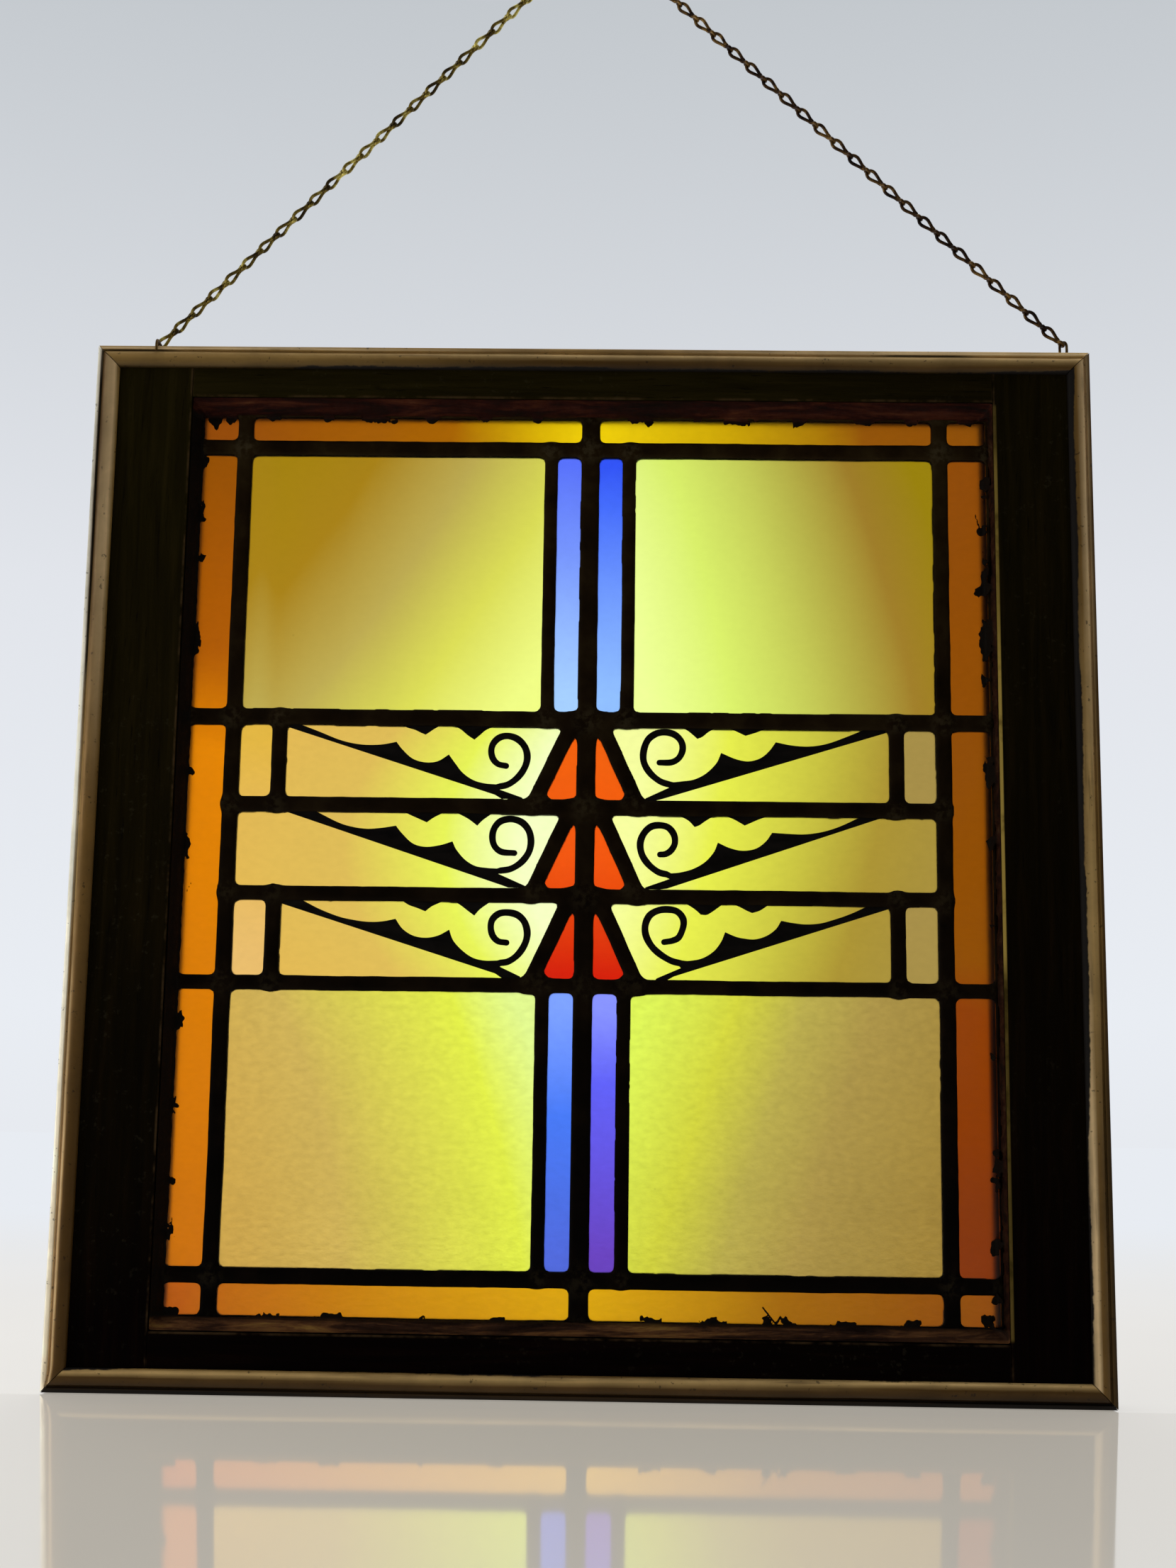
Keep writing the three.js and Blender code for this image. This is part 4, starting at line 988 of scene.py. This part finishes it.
def stroke(points, w0, w1):
    """The two sides of a brush stroke and its rounded end: first the left side out, then the right side back."""
    c = smooth_line(points, 0.5)
    t = np.gradient(c, axis=0)
    t /= np.hypot(t[:, 0], t[:, 1])[:, None]
    n = np.stack([-t[:, 1], t[:, 0]], 1)
    w = np.linspace(w0, w1, len(c)) + 0.17 * np.sin(np.linspace(0, math.pi, len(c))) + 0.04 * np.sin(np.arange(len(c)) * 0.37)
    left, right = c + n * w[:, None], c - n * w[:, None]
    a = np.linspace(0, math.pi, 9)[1:-1]
    cap = [c[-1] + w[-1] * (math.cos(u) * n[-1] + math.sin(u) * t[-1]) for u in a]
    return left, np.array(cap), right[::-1]


def area(p):
    return 0.5 * np.sum(p[:, 0] * np.roll(p[:, 1], -1) - np.roll(p[:, 0], -1) * p[:, 1])


def plates(name, outlines, y_back, thickness, material, edge=0.25):
    """Thin painted shapes: closed outlines in panel x, z, with straight sides."""
    verts, tris, count = [], [], 0
    for o in outlines:
        if area(o) < 0:
            o = o[::-1]
        n = len(o)
        front = np.stack([o[:, 0], np.full(n, y_back - thickness), o[:, 1]], 1)
        back = np.stack([o[:, 0], np.full(n, y_back), o[:, 1]], 1)
        me = bpy.data.meshes.new("scratch")
        me.from_pydata([(p[0], p[1], 0.0) for p in o], [], [list(range(n))])
        me.calc_loop_triangles()
        t = np.array([list(lt.vertices) for lt in me.loop_triangles])
        bpy.data.meshes.remove(me)
        a, b = front[t[:, 1]] - front[t[:, 0]], front[t[:, 2]] - front[t[:, 0]]
        up = (a[:, 0] * b[:, 2] - a[:, 2] * b[:, 0]) < 0
        t[up] = t[up][:, ::-1]
        verts += [front, back]
        tris.append(t + count)
        tris.append(t[:, ::-1] + count + n)
        i = np.arange(n)
        j = (i + 1) % n
        # front runs i -> j, so the wall uses j -> i
        tris.append(np.stack([j, i, i + n], 1) + count)
        tris.append(np.stack([j, i + n, j + n], 1) + count)
        count += 2 * n
    return make(name, np.concatenate(verts), [np.concatenate(tris)], material, (), 30.0)


def build_scrolls():
    for key, d in SCROLLS.items():
        side = -1 if key[0] == "L" else 1
        node = f"glass_scroll_{key[1]}_{'left' if side < 0 else 'right'}"
        lo, hi = panel_box(node)
        rx, rz = (hi[0] if side < 0 else lo[0]), hi[2]
        # worked in local axes: a out from the centre, b down from the pane's top
        upper = smooth_line(d["upper"])
        left, cap, right = stroke(d["spiral"], 1.37, 1.32)
        # the side nearer the curl follows on from the upper edge
        if np.hypot(*(left[0] - upper[-1])) > np.hypot(*(right[-1] - upper[-1])):
            left, right = right[::-1], left[::-1]
            cap = cap[::-1]
        foot = 34.6 if key[1] != "3" else 34.9
        notch = d["notch"]
        slope_end = np.array([notch[1][0] - 0.6, foot])
        low = np.array(d["low"][0])
        tip = np.array(d["tip"][0])
        cut = right[: max(2, int(len(right)) - 1)]
        shape = np.vstack([upper, left[1:], cap, cut, [notch[0]], [notch[1]], [slope_end], [[low[0] - 3.0, foot]], [low], [tip], [[tip[0] - 1.0, 0.8]]])
        outs = [shape]
        for sc in d["sc"]:
            line = smooth_line(sc)
            line = np.vstack([line, [[line[-1][0], 0.9]], [[line[0][0], 0.9]]])
            outs.append(line)
        outs = [np.stack([rx + side * o[:, 0], rz - o[:, 1]], 1) for o in outs]
        plates(f"painted_scroll_{key[1]}_{'left' if side < 0 else 'right'}", outs, GLASS_Y - 0.02, 0.04, MATERIALS["paint"])


# ------------------------------------------------------------------ edge trim
def trim_profile():
    """The strip's cross-section: u in from the outer edge, y back. A sloped lip, a hollow, a round bead, and the leg down the side."""
    p = [(0, 12), (0, 9), (0, 6), (0, 3), (0, 0), (0, -1.00), (0.07, -1.17), (0.22, -1.30), (0.55, -1.43), (1.0, -1.60), (1.45, -1.78), (1.72, -1.86), (1.90, -1.78), (2.0, -1.55), (2.0, -1.05), (2.06, -0.93), (2.2, -0.9), (2.4, -0.9), (2.5, -0.98)]
    for i in range(1, 24):
        t = math.pi * i / 24
        p.append((6.3 - 3.8 * math.cos(t), -0.6 - 2.6 * math.sin(t)))
    p += [(10.1, -0.6), (10.1, -0.42), (10.0, -0.3), (8.0, -0.3), (6.0, -0.3), (4.0, -0.3), (2.3, -0.3), (2.0, -0.1), (2.0, 3), (2.0, 6), (2.0, 9), (2.0, 11.8), (1.8, 12), (0.2, 12)]
    return np.array(p)


def build_trim(name, corner, run, inward, length, seed, widen, material):
    """A mitred strip: corner is the outer corner it starts at, run its direction, inward towards the glass."""
    prof = trim_profile()
    n, m = len(prof), 190
    u, y = prof[:, 0], prof[:, 1]
    gap = 0.15 * math.sqrt(2)
    s0, s1 = u + gap, length - u - gap
    verts, us = [], []
    front = np.clip((-0.7 - y) / 0.3, 0, 1)
    bead = front * (u > 2.4)
    band = front * (u <= 2.4)
    for k in range(m):
        f = k / (m - 1)
        s = s0 + (s1 - s0) * f
        end = min(f, 1 - f) * length
        free = min(1.0, end / 6.0)
        su = s + seed * 531.0
        dent = 0.10 * np.clip(noise2(su, u, 34, seed + 40, 3), 0, 1) + 0.07 * np.clip(noise2(su, u * 3, 7.5, seed + 50, 2) - 0.15, 0, 1)
        ding = 0.20 * np.clip(noise2(su, u * 0, 17, seed + 60, 1) - 0.72, 0, 1)
        yy = y + bead * free * (dent + ding) * 1.1 + band * free * 0.12 * np.clip(noise2(su, u * 0, 21, seed + 70, 3), 0, 1)
        shift = widen[0] + (widen[1] - widen[0]) * f
        hat = np.interp(u, [0.6, 2.0, 2.5, 10.1], [0, 1, 1, 0]) * front
        uu = u + hat * (shift + 0.10 * noise2(su, u * 0, 40, seed + 80, 3)) * free
        uu = uu + bead * free * 0.10 * noise2(su, u * 0, 55, seed + 90, 2) * np.interp(u, [2.5, 6.3, 10.1], [0, 1, 0.0])
        uu = np.clip(uu, 0.0, 10.1)
        s = np.clip(s, uu + gap, length - uu - gap) if k in (0, m - 1) else s
        pts = np.array(corner)[None, :] + s[:, None] * np.array(run)[None, :] + uu[:, None] * np.array(inward)[None, :]
        verts.append(np.stack([pts[:, 0], yy, pts[:, 1]], 1))
        us.append(u)
    verts = np.concatenate(verts)
    i = np.arange(n)
    j = (i + 1) % n
    quads = []
    for k in range(m - 1):
        a, b = k * n, (k + 1) * n
        quads.append(np.stack([a + i, a + j, b + j, b + i], 1))
    quads = np.concatenate(quads)
    cap0, cap1 = np.arange(n)[::-1], np.arange(n) + (m - 1) * n
    # outward check: the first band face looks away from the panel
    q = verts[quads[0]]
    normal = np.cross(q[1] - q[0], q[3] - q[0])
    out = -(normal[0] * inward[0] + normal[2] * inward[1])
    if out < 0:
        quads, cap0, cap1 = quads[:, ::-1], cap0[::-1], cap1[::-1]
    return make(name.replace("trim", "edge_strip"), verts, [quads, np.stack([cap0, cap1])], material, [name], 42.0, {"u_mm": np.concatenate(us)})


def build_trims():
    (x0, _, z0), (x1, _, z1) = panel_box("trim_left")[0], panel_box("trim_right")[1]
    z1 = panel_box("trim_top")[1][2]
    z0 = panel_box("trim_bottom")[0][2]
    m = MATERIALS
    build_trim("trim_left", (x0, z0), (0, 1), (1, 0), z1 - z0, 1, (0.95, -0.15), m["trim_left"])
    build_trim("trim_right", (x1, z0), (0, 1), (-1, 0), z1 - z0, 2, (0.1, 0.0), m["trim_right"])
    build_trim("trim_top", (x0, z1), (1, 0), (0, -1), x1 - x0, 3, (0.0, 0.15), m["trim_top"])
    build_trim("trim_bottom", (x0, z0), (1, 0), (0, 1), x1 - x0, 4, (0.15, 0.0), m["trim_bottom"])


# ------------------------------------------------------------------ wire work
def curve(points, per=6, closed=False):
    q = np.array(points, float)
    n = len(q)
    idx = range(n) if closed else range(n - 1)
    out = []
    for i in idx:
        p0 = q[(i - 1) % n] if closed or i > 0 else 2 * q[0] - q[1]
        p1, p2 = q[i], q[(i + 1) % n]
        p3 = q[(i + 2) % n] if closed or i + 2 < n else 2 * q[-1] - q[-2]
        for k in range(per):
            t = k / per
            out.append(0.5 * ((2 * p1) + (p2 - p0) * t + (2 * p0 - 5 * p1 + 4 * p2 - p3) * t * t + (3 * p1 - p0 - 3 * p2 + p3) * t**3))
    if not closed:
        out.append(q[-1])
    return np.array(out)


def tube(path, radius, sides=9, closed=False):
    """Round wire along a path: points and quads, closed at both ends."""
    n = len(path)
    t = (np.roll(path, -1, 0) - np.roll(path, 1, 0)) if closed else np.gradient(path, axis=0)
    t /= np.linalg.norm(t, axis=1)[:, None]
    ref = np.array([0.0, 1.0, 0.0]) if abs(t[0][1]) < 0.9 else np.array([1.0, 0.0, 0.0])
    a = np.cross(t[0], ref)
    a /= np.linalg.norm(a)
    frames = [a]
    for i in range(1, n):
        a = frames[-1] - t[i] * np.dot(frames[-1], t[i])
        frames.append(a / np.linalg.norm(a))
    frames = np.array(frames)
    if closed:
        # spread the twist that is left over the whole loop
        last = frames[-1] - t[0] * np.dot(frames[-1], t[0])
        last /= np.linalg.norm(last)
        b0 = np.cross(t[0], frames[0])
        twist = math.atan2(np.dot(last, b0), np.dot(last, frames[0]))
        ang = -twist * np.arange(n) / n
        b = np.cross(t, frames)
        frames = frames * np.cos(ang)[:, None] + b * np.sin(ang)[:, None]
    b = np.cross(t, frames)
    phi = 2 * math.pi * np.arange(sides) / sides
    r = np.broadcast_to(radius, (n,))
    v = path[:, None, :] + r[:, None, None] * (np.cos(phi)[None, :, None] * frames[:, None, :] + np.sin(phi)[None, :, None] * b[:, None, :])
    v = v.reshape(-1, 3)
    i = np.arange(sides)
    j = (i + 1) % sides
    quads, tris = [], []
    for k in range(n if closed else n - 1):
        a0, b0 = k * sides, ((k + 1) % n) * sides
        quads.append(np.stack([a0 + i, a0 + j, b0 + j, b0 + i], 1))
    quads = np.concatenate(quads)
    if not closed:
        v = np.vstack([v, path[0] - t[0] * r[0] * 0.35, path[-1] + t[-1] * r[-1] * 0.35])
        c0, c1 = len(v) - 2, len(v) - 1
        tris.append(np.stack([np.full(sides, c0), j, i], 1))
        tris.append(np.stack([np.full(sides, c1), (n - 1) * sides + i, (n - 1) * sides + j], 1))
    return v, quads, (np.concatenate(tris) if tris else np.zeros((0, 3), int))


def gather(parts):
    verts, quads, tris, count = [], [], [], 0
    for v, q, t in parts:
        verts.append(v)
        quads.append(q + count)
        if len(t):
            tris.append(t + count)
        count += len(v)
    return np.concatenate(verts), [np.concatenate(quads)] + ([np.concatenate(tris)] if tris else [])


BROAD = [(0.15, 0.50), (1.5, 0.66), (3.0, 1.14), (4.5, 1.60), (5.8, 1.85), (7.1, 1.66), (8.1, 1.05), (8.62, 0.42)]


def link(at, along_, across, depth, b, rng, r):
    """One link: a broad teardrop eye one way and a small cross eye the other, bent from one wire."""
    k = 1 + rng.uniform(-0.03, 0.03)
    side = [(t, w * k, 0.0) for t, w in BROAD]
    other = [(t, -w * k, 0.0) for t, w in BROAD[::-1]]
    small = [(-0.55, -0.26, -0.52), (-1.25, 0.0, -1.18), (-0.62 * b, 0.0, -1.38), (-0.88 * b, 0.0, -1.02), (-b - 0.04, 0.0, 0.0),
             (-0.88 * b, 0.0, 1.02), (-0.62 * b, 0.0, 1.38), (-1.25, 0.0, 1.18), (-0.55, 0.26, 0.52)]
    pts = np.array(side + [(8.74, 0.0, 0.0)] + other + small)
    pts[:, 1] += rng.uniform(-0.05, 0.05) * np.sin(pts[:, 0])
    path = curve(pts, 2, True)
    world = at + path[:, :1] * along_ + path[:, 1:2] * across + path[:, 2:3] * depth
    return tube(world, r, 8, True)


def build_chain():
    ring_lo, ring_hi = panel_box("hanging_ring")
    cx, cy = (ring_lo[0] + ring_hi[0]) / 2, (ring_lo[1] + ring_hi[1]) / 2
    apex = np.array([cx, cy, ring_lo[2] + 7.3])
    ring_in, wire, over, cross_len = 6.0, 1.3, 0.25, 5.4
    left_lo, left_hi = panel_box("staple_left")
    right_lo, right_hi = panel_box("staple_right")
    lx, lz = (left_lo[0] + left_hi[0]) / 2, left_hi[2] - wire / 2
    rx, rz = (right_lo[0] + right_hi[0]) / 2, right_hi[2] - wire / 2
    foot_l = np.array([lx, cy, lz]) + np.array([-0.69, 0, -0.724]) * 1.6
    foot_r = np.array([rx, cy, rz - 1.6])
    depth = np.array([0.0, 1.0, 0.0])
    for name, foot, up, seed, mat, turn in (("chain_left", foot_l, False, 3, "chain_l", 1.00), ("chain_right", foot_r, True, 4, "chain_r", 0.0)):
        rng = np.random.default_rng(seed)
        d = apex - foot
        length = np.linalg.norm(d)
        d = d / length
        length -= ring_in - 0.3 - wire / 2
        flat, deep = np.cross(depth, d), depth
        # the left leg hangs twisted, so its links show half edge-on
        across, face = flat * math.cos(turn) + deep * math.sin(turn), deep * math.cos(turn) - flat * math.sin(turn)
        parts, n = [], 26
        if up:
            pitch = (length - cross_len) / n
            b = pitch + wire - over - 8.7
            for k in range(n):
                parts.append(link(foot + d * (b + k * pitch), d, across, face, b, rng, 0.76))
            t0, t1 = n * pitch, length
            m, hl = foot + d * (t0 + t1) / 2, (t1 - t0) / 2
            loop = [(-hl, 0.0), (-hl + 0.5, 0.85), (-hl * 0.3, 1.35), (hl * 0.4, 1.5), (hl - 0.5, 1.1), (hl, 0.0), (hl - 0.5, -1.1), (hl * 0.4, -1.5), (-hl * 0.3, -1.35), (-hl + 0.5, -0.85)]
            path = curve([(a, 0.0, w) for a, w in loop], 4, True)
            parts.append(tube(m + path[:, :1] * d + path[:, 2:3] * depth, 0.60, 8, True))
        else:
            pitch = (length - wire + over) / n
            b = pitch + wire - over - 8.7
            for k in range(n):
                parts.append(link(foot + d * (8.7 + k * pitch), -d, -across, face, b, rng, 0.74))
        verts, polys = gather(parts)
        make(name.replace("chain", "link_chain"), verts, polys, MATERIALS[mat], [name], 60.0)
    # hanging ring: thicker wire closed with a small butt joint
    a = 2 * math.pi * np.arange(96) / 96
    path = np.stack([apex[0] + 6.65 * np.cos(a), np.full(96, apex[1]), apex[2] + 6.65 * np.sin(a)], 1)
    radius = 0.65 - 0.10 * np.exp(-((a - 1.2) / 0.035) ** 2)
    v, q, _ = tube(path, radius, 14, True)
    make("ring_wire", v, [q], MATERIALS["chain_r"], ["hanging_ring"], 60.0)
    # staples of the same wire
    y, h = cy, 1.55
    pts = [(rx - h, y, right_lo[2]), (rx - h, y, rz - 10), (rx - h, y, rz - 6), (rx - h, y, rz - 2.4), (rx - h * 0.93, y, rz - 1.1), (rx - h * 0.55, y, rz - 0.12), (rx, y, rz),
           (rx + h * 0.55, y, rz - 0.12), (rx + h * 0.93, y, rz - 1.1), (rx + h, y, rz - 2.4), (rx + h, y, rz - 6), (rx + h, y, rz - 10), (rx + h, y, right_lo[2])]
    v, q, t = tube(curve(pts, 5), 0.62, 10)
    make("wire_staple_right", v, [q, t], MATERIALS["staple"], ["staple_right"], 60.0)
    pts = [(lx, -2.82, 447.9), (lx, -2.84, 449.6), (lx, -2.50, 451.8), (lx, -1.5, lz - 0.25), (lx, 0.2, lz), (lx, 3.0, lz), (lx, 5.6, lz), (lx, 7.6, lz - 0.5), (lx, 8.5, lz - 2.2), (lx, 8.5, 448), (lx, 8.5, left_lo[2] + 0.3)]
    v, q, t = tube(curve(pts, 5), 0.62, 10)
    make("wire_staple_left", v, [q, t], MATERIALS["staple"], ["staple_left"], 60.0)


# ------------------------------------------------------------------ put it together
MATERIALS["putty"] = putty_material()
MATERIALS["paint"] = paint_material()
# one trim metal in four lit and shaded copies, one for each side, each with its own painted highlight and shade
MATERIALS["trim_left"] = trim_metal("trim_metal_left", 2, TRIM_LEFT, [(0, 10.6)], [(300, 440)], (150, 300))
MATERIALS["trim_right"] = trim_metal("trim_metal_right", 2, TRIM_RIGHT, [(90, 9.4), (170, 7.8)])
MATERIALS["trim_top"] = trim_metal("trim_metal_top", 0, TRIM_TOP, [(-190, 10.3), (-110, 9.5), (-20, 8.9), (60, 9.2), (150, 10.0), (205, 9.3)], [(-221, -186), (128, 168)])
MATERIALS["trim_bottom"] = trim_metal("trim_metal_bottom", 0, TRIM_BOTTOM, [(-205, 9.2), (-150, 10.6), (-40, 9.9), (90, 10.6), (150, 9.9), (195, 10.6)])
# painted light: the two legs and the staples are lit and shaded copies of one brass wire; the left leg's pale yellow hi
# stop is painted highlight, and the right leg and staples are painted darker
MATERIALS["chain_l"] = chain_material("chain_brass_left", (0.040, 0.024, 0.003), (0.20, 0.140, 0.018), (0.85, 0.74, 0.20), 0.45)
MATERIALS["chain_r"] = chain_material("chain_brass_right", (0.008, 0.003, 0.001), (0.040, 0.017, 0.004), (0.26, 0.150, 0.040), 0.60)
MATERIALS["staple"] = chain_material("chain_brass_staple", (0.018, 0.007, 0.002), (0.085, 0.040, 0.010), (0.30, 0.19, 0.050), 0.60)
lead_material_ = lead_material()
WOOD_Z, WOOD_X = wood("wood_stiles", 2), wood("wood_rails", 0)

FINISH = {"stile_left": WOOD_Z, "stile_right": WOOD_Z, "rail_top": WOOD_X, "rail_bottom": WOOD_X}
for name in NODES:
    if not name.startswith("glass_"):
        continue
    tag = name[6:]
    if tag.startswith("top_"):
        key = "amber_top"
    elif tag.startswith("bottom_"):
        key = "amber_bottom"
    elif tag.startswith("side_"):
        key = "amber_side" if tag.endswith("left") else "orange_side"
    elif tag.startswith("pane_"):
        key = "yellow_" + tag[5] + tag.split("_")[2][0]
    elif tag.startswith("centre_"):
        key = {"centre_upper_left": "blue_left_upper", "centre_upper_right": "blue_right_upper", "centre_lower_left": "blue_left_lower"}.get(tag, "purple")
    elif tag.startswith("small_"):
        key = "small_left" if tag.endswith("left") else "small_right"
    elif tag.startswith("red_"):
        key = "red"
    else:
        key = "yellow_b" + tag.split("_")[2][0]
    FINISH[name] = MATERIALS[key]
for name, material in FINISH.items():
    o = NODES[name]
    for s in o.material_slots:
        s.material = material
for name in ("stile_left", "stile_right", "rail_top", "rail_bottom"):
    m = NODES[name].modifiers.new("arris", "BEVEL")
    m.width, m.segments, m.limit_method, m.angle_limit = 0.0006, 3, "ANGLE", math.radians(50)
    m.use_clamp_overlap = True

build_leadwork()
build_putty()
build_scrolls()
build_trims()
build_chain()


# ------------------------------------------------------------------ floor, light and camera
def floor():
    """A pale glossy table top that fades into the backdrop behind the panel."""
    t = Tree("stage_floor")
    n = t.noise(3.0, 3.0, 0.5)
    t.set(Base_Color=t.ramp(n, [(0.3, (0.60, 0.57, 0.52)), (0.7, (0.65, 0.62, 0.57))]), Roughness=0.6, Specular_IOR_Level=0.0)
    t.set(Emission_Color=(0.500, 0.466, 0.410), Emission_Strength=1.0)
    gloss = t.add("ShaderNodeBsdfAnisotropic")
    t.put(gloss.inputs["Color"], (1.0, 0.995, 0.985))
    t.put(gloss.inputs["Roughness"], t.range(n, 0.3, 0.7, 0.055, 0.075))
    polish = t.add("ShaderNodeMixShader")
    t.put(polish.inputs[0], 0.41)
    t.t.links.new(t.bsdf.outputs[0], polish.inputs[1])
    t.t.links.new(gloss.outputs[0], polish.inputs[2])
    away = t.add("ShaderNodeEmission")
    t.put(away.inputs["Color"], lin((232, 236, 242)))
    blend = t.add("ShaderNodeMixShader")
    t.put(blend.inputs[0], t.range(t.dot(t.obj(), (0, 1, 0)), 0.05, 1.6))
    t.t.links.new(polish.outputs[0], blend.inputs[1])
    t.t.links.new(away.outputs[0], blend.inputs[2])
    t.t.links.new(blend.outputs[0], t.out.inputs["Surface"])
    z = Z0 - 3.0 * MM
    me = bpy.data.meshes.new("stage_floor")
    # the panel leans back a little on its table, so the table in front falls away from it
    fold, low = -0.008, z - 0.1122 * (2.2 - 0.008)
    rows = [(-2.2, low), (fold, z), (9.0, z), (9.0, low - 0.02), (-2.2, low - 0.02)]
    me.from_pydata([(x, y, h) for y, h in rows for x in (-4, 4)], [],
                   [(0, 1, 3, 2), (2, 3, 5, 4), (4, 5, 7, 6), (6, 7, 9, 8), (8, 9, 1, 0), (0, 2, 4, 6, 8), (1, 9, 7, 5, 3)])
    me.materials.append(t.material)
    o = bpy.data.objects.new("stage_floor", me)
    bpy.context.scene.collection.objects.link(o)


def world():
    w = bpy.data.worlds.new("studio")
    bpy.context.scene.world = w
    w.use_nodes = True
    nt = w.node_tree
    nt.nodes.clear()
    tree = Tree.__new__(Tree)
    tree.t, tree.coords = nt, None
    out, bg = tree.add("ShaderNodeOutputWorld"), tree.add("ShaderNodeBackground")
    nt.links.new(bg.outputs[0], out.inputs[0])
    d = tree.add("ShaderNodeTexCoord").outputs["Generated"]
    up = tree.dot(d, (0, 0, 1))
    back = tree.dot(d, (0, 1, 0))
    side = tree.dot(d, (-1, 0, 0))
    f = tree.range(up, -0.2, 1.0, smooth=False)
    at = lambda s: (s + 0.2) / 1.2
    sky = tree.ramp(f, [(at(-0.2), lin((225, 226, 230))), (at(0.05), lin((233, 237, 243))), (at(0.25), lin((226, 229, 235))),
                        (at(0.51), lin((195, 200, 205))), (at(1.0), lin((200, 202, 206)))])
    # the studio is dim behind the camera and brightest on the far side and to the left
    far = tree.range(back, -0.15, 0.45)
    front = tree.mix(tree.range(side, -0.2, 0.9), (0.030, 0.027, 0.022), (0.11, 0.105, 0.095))
    front = tree.mix(tree.range(up, 0.40, 0.95), front, (0.42, 0.42, 0.42))
    tree.put(bg.inputs["Color"], tree.mix(far, front, sky))
    bg.inputs["Strength"].default_value = 1.0


def lamp(name, place, aim, size, radiance, colour=(1, 1, 1), unseen=()):
    d = bpy.data.lights.new(name, "AREA")
    d.shape, d.size, d.size_y = "RECTANGLE", size[0], size[1]
    d.energy = radiance * math.pi * size[0] * size[1]
    d.color = colour
    o = bpy.data.objects.new(name, d)
    bpy.context.scene.collection.objects.link(o)
    o.location = place
    o.rotation_euler = (mathutils.Vector(aim) - mathutils.Vector(place)).to_track_quat("-Z", "Y").to_euler()
    o.visible_camera = False
    for u in unseen:
        setattr(o, "visible_" + u, False)
    return o


def camera():
    yaw, tilt, roll = -0.01843, 0.16346, 0.01421
    fwd = np.array([math.sin(yaw) * math.cos(tilt), math.cos(yaw) * math.cos(tilt), math.sin(tilt)])
    right = np.array([math.cos(yaw), -math.sin(yaw), 0.0])
    up = np.cross(right, fwd)
    r2, u2 = right * math.cos(roll) + up * math.sin(roll), -right * math.sin(roll) + up * math.cos(roll)
    c = bpy.data.cameras.new("camera")
    c.sensor_fit, c.sensor_height, c.lens = "VERTICAL", 36.0, 46.19
    c.clip_start, c.clip_end = 0.01, 60.0
    o = bpy.data.objects.new("camera", c)
    bpy.context.scene.collection.objects.link(o)
    m = mathutils.Matrix.Identity(4)
    place = P((16.83, -855.0, 112.96))[0]
    for i in range(3):
        m[i][0], m[i][1], m[i][2], m[i][3] = r2[i], u2[i], -fwd[i], place[i]
    o.matrix_world = m
    bpy.context.scene.camera = o


floor()
world()
MID = P((0, 0, 225))[0]
lamp("back_glow", (0.0, 0.60, MID[2]), (0.0, 0.0, MID[2]), (1.5, 1.3), 0.62, (1.0, 1.0, 1.0), ("diffuse", "glossy"))
lamp("key_left", (-1.15, -0.42, MID[2] + 0.10), tuple(MID), (0.7, 1.1), 1.6, (1.0, 0.97, 0.93), ("transmission",))
lamp("top_soft", (0.1, 0.15, MID[2] + 1.35), (0.0, 0.0, MID[2]), (1.4, 0.9), 0.7, (1.0, 0.99, 0.97), ("transmission",))
camera()
bpy.context.scene.view_settings.view_transform = "Standard"
